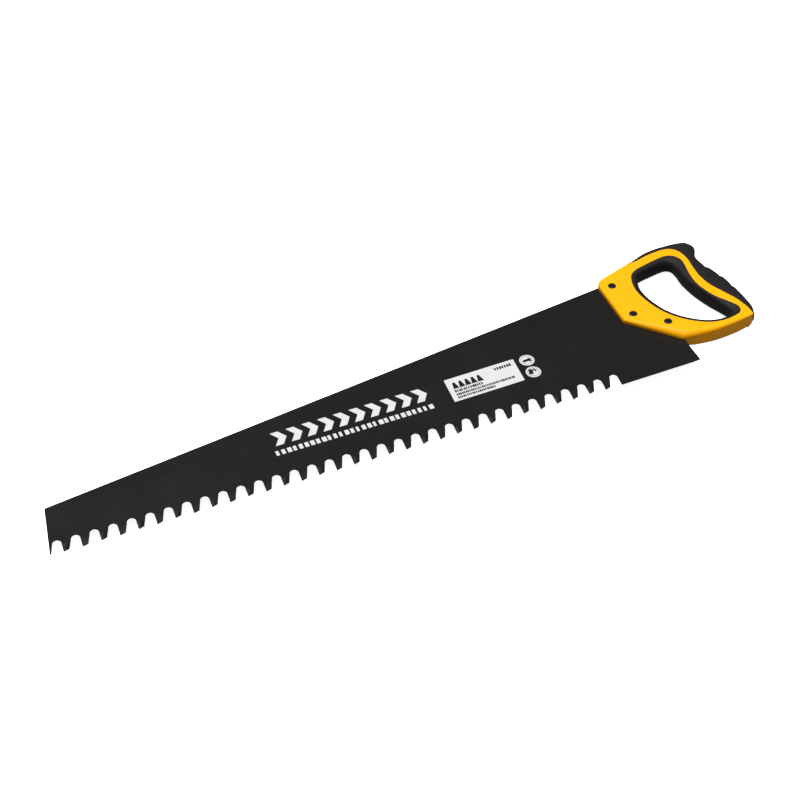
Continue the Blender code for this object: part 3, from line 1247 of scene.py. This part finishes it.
# Outer edge of the yellow strip, paired with the crest of the back rubber
GRIP_PAIRS = (
    ((697, 161), (696.5, 163)), ((708, 161.5), (706, 166.5)), ((722, 165), (720, 172.5)),
    ((736, 167), (735.5, 175.5)), ((746.5, 167), (750, 176)), ((754, 164), (764.5, 176.2)),
    ((759, 158), (777, 174)), ((761.5, 149.5), (782.5, 163)), ((762, 140.5), (775.5, 147)),
    ((761, 129), (778, 132)), ((760.5, 115), (785, 116)), ((763, 98.5), (789.5, 100)),
    ((769.5, 83.5), (791.5, 84)), ((778.5, 65), (792.2, 66)), ((783, 49), (791.7, 49.5)),
    ((784, 38), (787, 37)),
)

# Edge of the hand opening in the core, paired with the liner's crest
OPENING_PAIRS = (
    ((691, 140), (697, 135)), ((700, 148), (703, 141.5)), ((719, 153), (720, 145.5)),
    ((738, 156.5), (735.5, 147.5)), ((748, 154.5), (741, 145)), ((753.5, 148), (742.5, 140.5)),
    ((755, 139), (743, 133)), ((752, 120), (743, 120.5)), ((752, 101), (747, 102)),
    ((758.5, 80), (753.5, 82)), ((768, 65), (759.5, 65)), ((775, 53), (763, 55)),
    ((773.5, 45), (763, 49)), ((767, 41), (760, 46)), ((750, 38.5), (750, 45)),
    ((732, 42.5), (735, 48.5)), ((712, 56), (717, 61)), ((697, 75.5), (703, 79)),
    ((688.5, 99), (695.5, 100.5)), ((686, 121), (693.5, 120)),
)


@dataclass
class HandleCore:
    """The rigid yellow moulding round the hand opening."""

    front_x: float = 652.8
    front_low: float = 82.5                 # lower end of the straight front edge
    front_top: tuple = (652.8, 148.5)       # where the front edge would meet the top edge
    top_edge: tuple = ((668, 153.5), (682, 157.5))
    front_low_round: float = 3.5
    front_top_round: float = 9.0
    heel_corner: tuple = (700, 34.5)        # between the mitre edge and the lower edge
    heel_round: float = 10.0
    tail_far_rounds: tuple = (2.2, 4.4)     # far edge rounding at the last two points of the strip
    bottom: tuple = ((782.5, 35, 1.2, 5.4), (765, 32, 2.8, 2.4), (738, 30, 4.0, 1.4),
                     (714, 32, 6.0, 1.6))   # lower edge, with its near and far edge rounding
    front_half: float = 6.7
    body_half: float = 9.4
    ease_start: float = 690.0               # the cheek's slope fades out from here
    ease_end: float = 720.0
    strip_round: float = 0.6
    opening_round: float = 0.6
    front_round: float = 2.8
    top_round: float = 1.2
    heel_edge_round: float = 7.0
    heel_far_round: float = 3.2
    round_steps: int = 6
    support: float = 0.35                   # flat band kept beside a rounded edge
    grid: float = 4.0
    grid_clear: float = 0.45                # least share of the grid between its points and an outline
    path_steps: int = 12
    low_steps: int = 5                      # stretches round the lower front corner and along the mitre
    corner_steps: int = 8
    slot_reach: float = 15.0                # how far the slot's cutter stands out in front
    slot_low: float = 10.0                  # height of the cutter's lower edge
    slot_slope: float = 0.1322              # fall of its upper edge towards the toe
    cutter_over: float = 0.5
    seat_over: float = 2.0
    seat_lift: float = 0.02
    blade_half: float = 0.8
    slot_gap: float = 0.3
    head_radius: float = 4.4
    head_thick: float = 2.2
    head_sunk: float = 0.2
    head_gap: float = 0.15
    seat_chamfer: float = 0.1
    sleeve_radius: float = 3.2

    def face_half(self, x: float) -> float:
        """Half thickness at a plan X: the cheeks widen evenly and then run level."""
        middle = (self.ease_start + self.ease_end) / 2
        slope = (self.body_half - self.front_half) / (middle - self.front_x)
        if x <= self.ease_start:
            return self.front_half + slope * max(0.0, x - self.front_x)
        rest = max(0.0, self.ease_end - x)
        return self.body_half - slope * rest * rest / (2 * (self.ease_end - self.ease_start))

    def rim(self) -> list[Vector]:
        """Draws the outer outline.

        Returns:
            Its points, each with its edge rounding on the near and on the far side.
        """
        front = (self.front_round, self.top_round)
        over = (self.top_round, self.top_round)
        low = (self.front_x, self.front_low)
        strip = [(*pair[0], self.strip_round, self.strip_round) for pair in GRIP_PAIRS]
        for back, far in enumerate(reversed(self.tail_far_rounds)):
            strip[-1 - back] = (*strip[-1 - back][:3], far)
        made = [Vector((*p, *front)) for p in
                fillet(self.heel_corner, low, self.front_top, self.front_low_round, self.low_steps)]
        corner = fillet(low, self.front_top, self.top_edge[0], self.front_top_round, self.corner_steps)
        for i, p in enumerate(corner):
            near_round = self.front_round + (self.top_round - self.front_round) * i / (len(corner) - 1)
            made.append(Vector((*p, near_round, self.top_round)))
        top = [(*point, *over) for point in self.top_edge]
        made += spline_through([made[-1], *top, *strip], self.path_steps)[1:]
        made += spline_through([strip[-1], *self.bottom], self.path_steps)[1:]
        heel = [Vector((*p, self.heel_edge_round, self.heel_far_round)) for p in
                fillet(self.bottom[-1], self.heel_corner, low, self.heel_round, self.corner_steps)]
        start, end = heel[-1], made[0]
        return made + heel + [start.lerp(end, i / self.low_steps) for i in range(1, self.low_steps)]

    def opening(self) -> list[Vector]:
        """The outline of the hand opening, with its edge roundings."""
        points = [(*pair[0], self.opening_round, self.opening_round) for pair in OPENING_PAIRS]
        return spline_through(points, self.path_steps, closed=True)

    @staticmethod
    def into_material(loop: Sequence[Vector], hole: bool) -> list[Vector]:
        """Finds the way into the material all along an outline.

        Args:
            loop: the outline.
            hole: whether the material lies outside it.

        Returns:
            A unit vector for each point.
        """
        area = sum(loop[i - 1].x * p.y - p.x * loop[i - 1].y for i, p in enumerate(loop))
        sign = 1.0 if (area > 0) != hole else -1.0
        made = []
        for i in range(len(loop)):
            along = (loop[(i + 1) % len(loop)].xy - loop[i - 1].xy).normalized()
            made.append(Vector((-along.y, along.x)) * sign)
        return made

    def rings(self, loop: Sequence[Vector], hole: bool, side: Side) -> list[list[Vector]]:
        """Rings that round an outline's edge over onto one face.

        Args:
            loop: the outline with roundings.
            hole: whether the outline is a hole.
            side: the face.

        Returns:
            Plan points with heights, from the wall to the flat face.
        """
        normals = self.into_material(loop, hole)
        made = []
        for step in range(self.round_steps + 2):
            angle = math.radians(90.0) * min(step / self.round_steps, 1.0)
            extra = self.support if step > self.round_steps else 0.0
            ring = []
            for point, normal in zip(loop, normals):
                radius = point.z if side is Side.NEAR else point.w
                flat = point.xy + normal * (radius * (1 - math.cos(angle)) + extra)
                height = self.face_half(flat.x) - radius * (1 - math.sin(angle))
                ring.append(Vector((flat.x, flat.y, side.value * height)))
            made.append(ring)
        return made

    def shell(self) -> bpy.types.Object:
        """Builds the moulding before its slot and screw seats are cut.

        Returns:
            The closed solid.
        """
        points, faces, edge = [], [], []
        loops = ((self.rim(), False), (self.opening(), True))
        for loop, hole in loops:
            bands = self.rings(loop, hole, Side.FAR)[::-1] + self.rings(loop, hole, Side.NEAR)
            size = len(loop)
            first = len(points)
            for number, ring in enumerate(bands):
                points += [PLAN.at(*p) for p in ring]
                # the rounded bands and their flat support rings get the edge mask, which the yellow finish
                # paints lighter as rubbed wear and as a painted highlight
                from_flat = min(number, len(bands) - 1 - number)
                edge += [1.0 if from_flat <= self.round_steps else 0.0] * size
            for j in range(len(bands) - 1):
                for i in range(size):
                    a, b = first + j * size + i, first + j * size + (i + 1) % size
                    faces.append((a, b, b + size, a + size))
        for side in Side:
            outer, inner = (self.rings(loop, hole, side)[-1] for loop, hole in loops)
            found, triangles = fill([outer, inner], self.inner_points(outer, inner))
            first = len(points)
            points += [PLAN.at(p.x, p.y, side.value * self.face_half(p.x)) for p in found]
            edge += [0.0] * len(found)
            faces += [[first + i for i in face] for face in triangles]
        core = mesh_object("handle_moulding", points, faces)
        give_attribute(core, "edge", edge)
        return close_up(core)

    def inner_points(self, outer: Sequence[Vector], hole: Sequence[Vector]) -> list[Vector]:
        """Lays a grid of points on the face.

        Args:
            outer: the face's outline.
            hole: the opening's outline on the face.

        Returns:
            The points that are clear of both outlines.
        """
        made = []
        near = self.grid * self.grid_clear
        x = min(p.x for p in outer)
        while x < max(p.x for p in outer):
            y = min(p.y for p in outer)
            while y < max(p.y for p in outer):
                spot = Vector((x, y))
                if inside(spot, outer) and not inside(spot, hole):
                    if min((p.xy - spot).length for p in [*outer, *hole]) > near:
                        made.append(spot)
                y += self.grid
            x += self.grid
        return made

    def slot_cutter(self) -> bpy.types.Object:
        """Builds the room for the blade's heel and tang.

        Returns:
            The cutter.
        """
        half = self.blade_half + self.slot_gap
        left = self.front_x - self.slot_reach
        rim = [Vector((left, self.slot_low)), Vector((SawPlate.tang[0][0] + self.slot_gap, self.slot_low))]
        rim += [Vector((x + self.slot_gap, y + self.slot_gap)) for x, y in SawPlate.tang]
        rim.append(Vector((left, rim[-1].y - self.slot_slope * (rim[-1].x - left))))
        return plate("blade_slot", [rim], -half, half)

    def seat_cutters(self, index: int) -> list[bpy.types.Object]:
        """Builds the bore and the two chamfered seats at one screw.

        Args:
            index: the screw's place in the row of screws.

        Returns:
            The three cutters.
        """
        point = SCREW_PLACES[index]
        face = self.face_half(point[0])
        floor = face - self.head_sunk - self.head_thick - self.slot_gap
        wide = self.head_radius + self.head_gap
        bore = self.sleeve_radius + self.slot_gap
        end = floor + self.cutter_over
        made = [turned(f"bore_{index}", point, [(0.0, -end), (bore, -end), (bore, end), (0.0, end)])]
        for side in Side:
            lip = self.seat_chamfer
            over = face + self.seat_over
            profile = [(0.0, floor), (wide, floor), (wide, face - lip), (wide + lip, face + self.seat_lift),
                       (wide + lip, over), (0.0, over)]
            turned_to = [(radius, side.value * z) for radius, z in profile]
            made.append(turned(f"seat_{index}_{side.name}", point, turned_to[::side.value], 64))
        return made

    def build(self, book: FinishBook) -> None:
        """Builds the moulding, cuts it and hands it over.

        Args:
            book: the finishes.
        """
        core = self.shell()
        cutters = [self.slot_cutter()]
        for index in range(len(SCREW_PLACES)):
            cutters += self.seat_cutters(index)
        cut(core, cutters)
        even_shading(core, 40.0)
        hand_over(core, Slot.YELLOW, book.yellow, ["handle_core"])


@dataclass
class RubberMoulding:
    """Soft rubber moulded along an edge of the core, with a half-oval section."""

    name: str
    pairs: tuple
    closed: bool
    node: str
    core: HandleCore
    path_steps: int = 12
    below_face: float = 0.12                # how far the rubber's face lies under the core's
    groove: float = 0.45                    # depth of the parting groove beside the core
    groove_width: float = 0.45
    buried: float = 0.5                     # how far the root reaches into the core's edge
    swell: float = 0.35                     # how much fuller than an ellipse the section is
    face_steps: int = 9
    groove_steps: tuple = (0.0, 0.3, 0.6, 0.95, 1.4)    # distances of the first points from the core
    tail_share: float = 0.0                 # how much of the far side's height the last section loses
    tail_sections: int = 1

    def angles(self, depth: float) -> list[float]:
        """Spaces a section's points, close together beside the core.

        Args:
            depth: distance from the root to the crest.

        Returns:
            Section angles from the root to the crest.
        """
        made = [math.acos(min(d / depth, 1.0)) for d in self.groove_steps]
        last = made[-1]
        return made + [last * (1 - (i + 1) / self.face_steps) for i in range(self.face_steps)]

    def section(self, root: Vector, crest: Vector, left: int) -> tuple[list[Vector], list[float]]:
        """One section from the far root over the crest to the near root.

        Args:
            root: the root's plan point.
            crest: the crest's plan point.
            left: sections that are left to the path's end.

        Returns:
            Plan points with heights, and each point's share of the way to the crest.
        """
        way = crest - root
        depth = way.length
        half = self.core.face_half(root.x) - self.below_face
        near_half = []
        for angle in self.angles(depth):
            out = math.cos(angle)
            height = half * math.sin(angle) * (1 + self.swell * out * out)
            height -= self.groove * math.exp(-((out * depth / self.groove_width) ** 2))
            near_half.append((out, height))
        inner = root - way.normalized() * self.buried
        shares = [0.0] + [out for out, _ in near_half]
        flats = [inner] + [root + way * out for out, _ in near_half]
        heights = [near_half[0][1]] + [height for _, height in near_half]
        kept = 1 - self.tail_share * max(0.0, 1 - left / self.tail_sections) ** 2
        far = [Vector((p.x, p.y, -z * kept)) for p, z in zip(flats, heights)]
        near = [Vector((p.x, p.y, z)) for p, z in zip(flats, heights)]
        return far + near[-2::-1], shares + shares[-2::-1]

    def shape(self) -> bpy.types.Object:
        """Builds the rubber's mesh.

        Returns:
            The mesh, with its run along the path and its lift from root to crest stored.
        """
        roots = spline_through([pair[0] for pair in self.pairs], self.path_steps, self.closed)
        crests = spline_through([pair[1] for pair in self.pairs], self.path_steps, self.closed)
        points, faces, run, lift = [], [], [], []
        travelled = 0.0
        for number, (root, crest) in enumerate(zip(roots, crests)):
            if number:
                travelled += (crest - crests[number - 1]).length
            section, shares = self.section(root, crest, len(roots) - 1 - number)
            points += [PLAN.at(*p) for p in section]
            run += [travelled] * len(section)
            lift += shares
        size = len(section)
        count = len(roots)
        for j in range(count if self.closed else count - 1):
            here, after = j * size, (j + 1) % count * size
            for a in range(size):
                b = (a + 1) % size
                faces.append((here + a, here + b, after + b, after + a))
        if not self.closed:
            faces.append(list(range(size))[::-1])
            faces.append(list(range((count - 1) * size, count * size)))
        made = mesh_object(self.name, points, faces)
        give_attribute(made, "run", run)
        give_attribute(made, "lift", lift)
        return close_up(made)

    def build(self, book: FinishBook) -> None:
        """Builds the rubber and hands it over."""
        made = self.shape()
        smooth_shading(made, 60.0)
        hand_over(made, Slot.RUBBER, book.rubber, [self.node])


@dataclass
class RibbedBack(RubberMoulding):
    """The back rubber, with overlapping scales across the palm's side."""

    first_rib: float = 135.0                # run along the crest where the first scale starts
    rib_pitch: float = 20.3
    ribs: float = 3.0
    rib_depth: float = 1.4

    def build(self, book: FinishBook) -> None:
        """Builds the rubber, cuts its scales and hands it over.

        Args:
            book: the finishes.
        """
        made = self.shape()
        grip_rib_tree().run(made, First=self.first_rib, Pitch=self.rib_pitch, Count=self.ribs,
                            Depth=self.rib_depth * MM, Material=book.rubber)
        settle(made)
        smooth_shading(made, 60.0)
        hand_over(made, Slot.RUBBER, stands_for=[self.node])


@dataclass
class Fasteners:
    """Three screws with hexagon sockets, and the sleeve nuts that take them."""

    core: HandleCore
    shank_radius: float = 2.0
    shank_end: float = -4.0
    socket_radius: float = 1.9
    socket_depth: float = 1.5
    dome: float = 0.25
    edge_chamfer: float = 0.45
    chamfer_bend: tuple = (0.3, 0.35)       # shares of the chamfer at its bend
    crown: tuple = ((0.62, 0.75), (0.45, 1.0))      # shares of the head's radius and of its dome
    lead_low: float = 0.3                   # depth of the lead-in under the dome
    lead_inner: float = 0.15
    lead_outer: float = 0.35
    lead_over: float = 0.1
    cutter_top: float = 1.0
    point_chamfer: tuple = (0.3, 0.4)       # at the screw's end, across and along
    rim_share: float = 1.4                  # width of the worn rim as a share of its chamfer
    rim_depth: float = 0.6
    key_width: float = 0.5                  # width of the worn ring round the socket
    sleeve_top: float = 2.5
    clearance: float = 0.3

    def head_profile(self) -> list[tuple[float, float]]:
        """Draws the outer side of a head whose flat rim lies at height zero.

        Returns:
            Radius and height pairs.
        """
        radius, thick = self.core.head_radius, self.core.head_thick
        chamfer = self.edge_chamfer
        across, down = self.chamfer_bend
        return [(radius, -thick), (radius, -chamfer), (radius - chamfer * across, -chamfer * down),
                (radius - chamfer, 0.0), *((radius * wide, self.dome * high) for wide, high in self.crown)]

    def with_socket(self, made: bpy.types.Object) -> None:
        """Cuts the hexagon socket with its small lead-in.

        Args:
            made: the fastener about the plan's origin.
        """
        floor, low, top = self.dome - self.socket_depth, self.dome - self.lead_low, self.cutter_top
        wide = self.socket_radius + self.lead_outer
        key = [(0.0, floor), (self.socket_radius, floor), (self.socket_radius, top), (0.0, top)]
        lead = [(0.0, low), (self.socket_radius - self.lead_inner, low), (wide, self.dome + self.lead_over),
                (wide, top), (0.0, top)]
        cut(made, [turned("key", (0, 0), key, 6), turned("lead", (0, 0), lead, 32)])

    def centred(self, made: bpy.types.Object) -> bpy.types.Object:
        """Moves a fastener from the plan's origin to the world's origin and marks its edges.

        Args:
            made: the fastener.

        Returns:
            The same fastener.
        """
        made.data.transform(Matrix.Translation(-PLAN.shift))
        smooth_shading(made, 30.0)
        rim = (self.core.head_radius - self.edge_chamfer * self.rim_share) * MM
        values = []
        for vertex in made.data.vertices:
            out, high = vertex.co.xy.length, vertex.co.z
            on_rim = out > rim and abs(high) < self.rim_depth * MM
            at_key = abs(out - self.socket_radius * MM) < self.key_width * MM and high > 0
            values.append(1.0 if on_rim or at_key else 0.0)
        give_attribute(made, "edge", values)
        return made

    def screw(self) -> bpy.types.Object:
        """Builds one screw about the origin.

        Returns:
            The screw, its head's rim at height zero.
        """
        end = self.shank_end - self.core.body_half
        across, along = self.point_chamfer
        profile = [(0.0, end), (self.shank_radius - across, end), (self.shank_radius, end + along),
                   (self.shank_radius, -self.core.head_thick), *self.head_profile(), (0.0, self.dome)]
        made = turned("screw", (0, 0), profile)
        self.with_socket(made)
        return self.centred(made)

    def sleeve(self) -> bpy.types.Object:
        """Builds one sleeve nut about the origin.

        Returns:
            The nut, its head's rim at height zero and its sleeve below.
        """
        end = -(self.core.body_half + self.sleeve_top)
        bore = self.shank_radius + self.clearance
        floor = -self.core.head_thick
        profile = [(0.0, floor), (bore, floor), (bore, end), (self.core.sleeve_radius, end),
                   (self.core.sleeve_radius, floor), *self.head_profile(), (0.0, self.dome)]
        made = turned("sleeve", (0, 0), profile)
        self.with_socket(made)
        return self.centred(made)

    def build(self, book: FinishBook) -> None:
        """Sets the screws and the sleeve nuts and hands them over.

        Args:
            book: the finishes.
        """
        kinds = (("handle_screws", self.screw(), Side.NEAR, "handle_screw"),
                 ("sleeve_nuts", self.sleeve(), Side.FAR, "sleeve_nut"))
        for seed, (name, one, side, node) in enumerate(kinds):
            if side is Side.FAR:
                one.data.transform(Matrix.Rotation(math.pi, 4, "X"))
            spots = []
            for x, y in SCREW_PLACES:
                spots.append(PLAN.at(x, y, side.value * (self.core.face_half(x) - self.core.head_sunk)))
            made = mesh_object(name, spots, [])
            fastener_tree().run(made, Fastener=one, Seed=seed + 3, Material=book.steel)
            settle(made)
            discard([one])
            hand_over(made, Slot.STEEL, stands_for=[f"{node}_{i + 1}" for i in range(len(SCREW_PLACES))])


# ---------------------------------------------------------------- the printing


@dataclass
class Printing:
    """White printing on the blade's near face: a panel, two discs and a plain banner."""

    plate: SawPlate
    gap: float = 0.02                       # between the blade and the ink, and between two inks
    ink: float = 0.06
    label_centre: tuple = (479.2, 60.0)
    label_size: tuple = (80.0, 33.6)
    label_turn: float = 1.4
    label_lean: float = 0.075               # how far the panel's sides lean with its height
    label_corner: float = 0.5
    discs: tuple = (("upper", (533.0, 70.6)), ("lower", (531.9, 51.9)))
    disc_radius: float = 8.1
    disc_ring: tuple = (6.3, 5.9)           # outer and inner radius of the dark ring
    banner_turn: float = 0.7
    left_margin: float = 5.6                # from the panel's edge to its strip and rows

    def __post_init__(self) -> None:
        """Works out the heights of the two inks and builds the row tree."""
        self.white_low = self.plate.thickness / 2 + self.gap
        self.dark_low = self.white_low + self.ink + self.gap
        self.rows = motif_row_tree()

    def row(self, name: str, motif: Sequence[Vector], start: Sequence[float], turn: float, low: float,
            slot: Slot, finish: bpy.types.Material, count: int, pitch: float, least: float = 1.0,
            seed: int = 1) -> None:
        """Prints a row of one motif.

        Args:
            name: the piece's name.
            motif: the motif's outline, its lower left corner at the origin.
            start: plan point of the first motif's corner.
            turn: the row's slope in degrees.
            low: height of the ink's underside.
            slot: the record's slot.
            finish: the ink's material.
            count: how many motifs.
            pitch: distance from one to the next.
            least: the least share of its length that a motif keeps.
            seed: the seed for those shares.
        """
        one = plate("motif", [motif], 0.0, self.ink, local=True)
        host = mesh_object(name, [], [])
        self.rows.run(host, Motif=one, Start=PLAN.at(start[0], start[1], low), Pitch=pitch * MM, Count=count,
                      Turn=math.radians(turn), Least_Share=least, Seed=seed, Material=finish)
        settle(host)
        discard([one])
        hand_over(host, slot)

    def on_label(self, u: float, v: float) -> Vector:
        """Plan point at a distance along and up the panel from its lower left corner."""
        half = Vector(self.label_size) / 2
        lean = self.label_lean * (v - half.y)
        return placed([Vector((u + lean, v)) - half], self.label_centre, self.label_turn)[0]

    def label(self, book: FinishBook) -> None:
        """Prints the white panel, with a tooth strip and rows of dashes in place of words.

        Args:
            book: the finishes.
        """
        width, height = self.label_size
        outline = [self.on_label(p.x, p.y) for p in rounded_box(width, height, self.label_corner)]
        panel = plate("label_film", [outline], self.white_low, self.white_low + self.ink)
        hand_over(panel, Slot.WHITE, book.white, ["label_panel"])
        tooth = [Vector(p) for p in ((0.0, 0.0), (6.6, 0.0), (4.4, 9.2), (2.0, 9.2))]
        small, dash, tall = (rounded_box(*size, 0.2, 1) for size in ((1.8, 3.0), (2.2, 3.6), (2.2, 4.0)))
        left = self.left_margin
        rows = (("tooth_strip", tooth, (left, 17.6), 5, 7.0),
                ("dashes_upper", dash, (left, 12.2), 13, 2.5, 0.55, 4),
                ("dashes_corner", tall, (56.0, 25.4), 7, 2.8, 0.7, 8),
                ("dashes_middle", small, (left, 7.5), 33, 2.05, 0.6, 5),
                ("dashes_lower", small, (left, 3.0), 21, 2.05, 0.6, 6))
        for name, motif, corner, *repeats in rows:
            self.row(f"label_{name}", motif, self.on_label(*corner), self.label_turn, self.dark_low,
                     Slot.BLADE, book.blade, *repeats)

    def disc_pair(self, book: FinishBook) -> None:
        """Prints two white discs, each with a plain ring and a plain dark shape.

        Args:
            book: the finishes.
        """
        lens = rounded_box(9.6, 3.4, 1.6)
        bridge = rounded_box(2.6, 5.2, 0.9)
        block = rounded_box(4.6, 7.4, 0.8)
        cuff = rounded_box(2.0, 5.0, 0.9)
        shapes = {"upper": ((lens, (-4.8, -1.7), 8.0), (bridge, (1.4, -3.4), 8.0)),
                  "lower": ((block, (-4.8, -3.2), -12.0), (cuff, (2.0, -1.6), 24.0))}
        for name, centre in self.discs:
            disc = plate(f"disc_film_{name}", [circle(centre, self.disc_radius, 64)], self.white_low,
                         self.white_low + self.ink)
            hand_over(disc, Slot.WHITE, book.white, [f"pictogram_disc_{name}"])
            ring = plate(f"disc_ring_{name}", [circle(centre, radius, 48) for radius in self.disc_ring],
                         self.dark_low, self.dark_low + self.ink)
            hand_over(ring, Slot.BLADE, book.blade)
            for number, (shape, corner, turn) in enumerate(shapes[name]):
                moved = placed([p + Vector(corner) for p in shape], centre, turn)
                low = self.dark_low + number * (self.ink + self.gap)
                mark = plate(f"disc_mark_{name}_{number + 1}", [moved], low, low + self.ink)
                hand_over(mark, Slot.BLADE, book.blade)

    def banner(self, book: FinishBook) -> None:
        """Prints a row of bold chevrons over a row of dashes, in place of words.

        Args:
            book: the finishes.
        """
        high, arm, point = 19.0, 8.6, 6.4
        chevron = [Vector(p) for p in ((0, 0), (arm, 0), (arm + point, high / 2), (arm, high), (0, high),
                                       (point, high / 2))]
        white = (self.banner_turn, self.white_low, Slot.WHITE, book.white)
        self.row("banner_chevrons", chevron, (247.0, 53.6), *white, 10, 17.2)
        self.row("banner_dashes", rounded_box(5.0, 6.6, 0.3, 1), (243.6, 40.2), *white, 28, 6.2, 0.55, 2)

    def build(self, book: FinishBook) -> None:
        """Prints everything."""
        self.label(book)
        self.disc_pair(book)
        self.banner(book)


# ---------------------------------------------------------------- the studio


@dataclass
class Studio:
    """A pale floor, soft light from above and the camera."""

    azimuth: float = 21.81
    elevation: float = 44.343
    roll: float = -0.667
    distance: float = 1.9606
    aim: tuple = (-0.0085, -0.0207, 0.0094)
    lens: float = 85.6
    floor_reach: float = 6.0
    sun_strength: float = 4.7
    sun_from: tuple = (-0.1, 0.14, 1.0)
    sun_width: float = 24.0
    world_strength: float = 0.16

    def camera(self) -> None:
        """The camera, on a sphere about its aim."""
        data = bpy.data.cameras.new("camera")
        data.lens = self.lens
        data.sensor_width = 36.0
        made = bpy.data.objects.new("camera", data)
        bpy.context.scene.collection.objects.link(made)
        turn = Euler((math.radians(90.0 - self.elevation), 0.0, -math.radians(self.azimuth))).to_matrix()
        turn = turn @ Matrix.Rotation(math.radians(self.roll), 3, "Z")
        made.rotation_euler = turn.to_euler()
        made.location = Vector(self.aim) + turn @ Vector((0.0, 0.0, self.distance))
        bpy.context.scene.camera = made

    def lights(self) -> None:
        """A wide soft sun from above and an even world."""
        data = bpy.data.lights.new("overhead", "SUN")
        data.energy = self.sun_strength
        data.angle = math.radians(self.sun_width)
        made = bpy.data.objects.new("overhead", data)
        made.rotation_euler = Vector(self.sun_from).to_track_quat("Z", "Y").to_euler()
        bpy.context.scene.collection.objects.link(made)
        world = bpy.data.worlds.new("studio")
        world.use_nodes = True
        back = world.node_tree.nodes["Background"]
        back.inputs["Color"].default_value = (1.0, 1.0, 1.0, 1.0)
        back.inputs["Strength"].default_value = self.world_strength
        bpy.context.scene.world = world
        bpy.context.scene.view_settings.view_transform = "Standard"

    def floor(self, book: FinishBook) -> None:
        """The floor, just under the saw."""
        reach = self.floor_reach
        corners = [Vector((x, y, -0.0001)) for x, y in ((-reach, -reach), (reach, -reach), (reach, reach),
                                                        (-reach, reach))]
        made = mesh_object("floor", corners, [(0, 1, 2, 3)])
        made.data.materials.append(book.floor)
        made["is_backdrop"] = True

    def build(self, book: FinishBook) -> None:
        """Sets up the studio."""
        self.camera()
        self.lights()
        self.floor(book)


def write_sizes() -> None:
    """Turns the CAD box and the visual model's box into plain lists and logs them, rounded."""
    boxes = {"cad": CAD_BOX, "visual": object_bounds()}
    plain = {key: [list(corner) for corner in box] for key, box in boxes.items()}
    for key, (low, high) in plain.items():
        log.info("%s box %s to %s", key, [round(v, 5) for v in low], [round(v, 5) for v in high])


def main() -> None:
    """Builds the saw's looks in order."""
    logging.basicConfig(level=logging.INFO, format="%(message)s")
    book = FinishBook()
    core = HandleCore()
    steel_plate = SawPlate()
    steel_plate.build(book, SCREW_PLACES, core.sleeve_radius + core.slot_gap)
    core.build(book)
    RibbedBack("grip_back_rubber", GRIP_PAIRS, False, "back_grip", core, path_steps=16, tail_share=0.5,
               tail_sections=24).build(book)
    RubberMoulding("grip_liner_rubber", OPENING_PAIRS, True, "opening_liner", core).build(book)
    Fasteners(core).build(book)
    Printing(steel_plate).build(book)
    Studio().build(book)
    write_sizes()


if __name__ == "__main__":
    main()
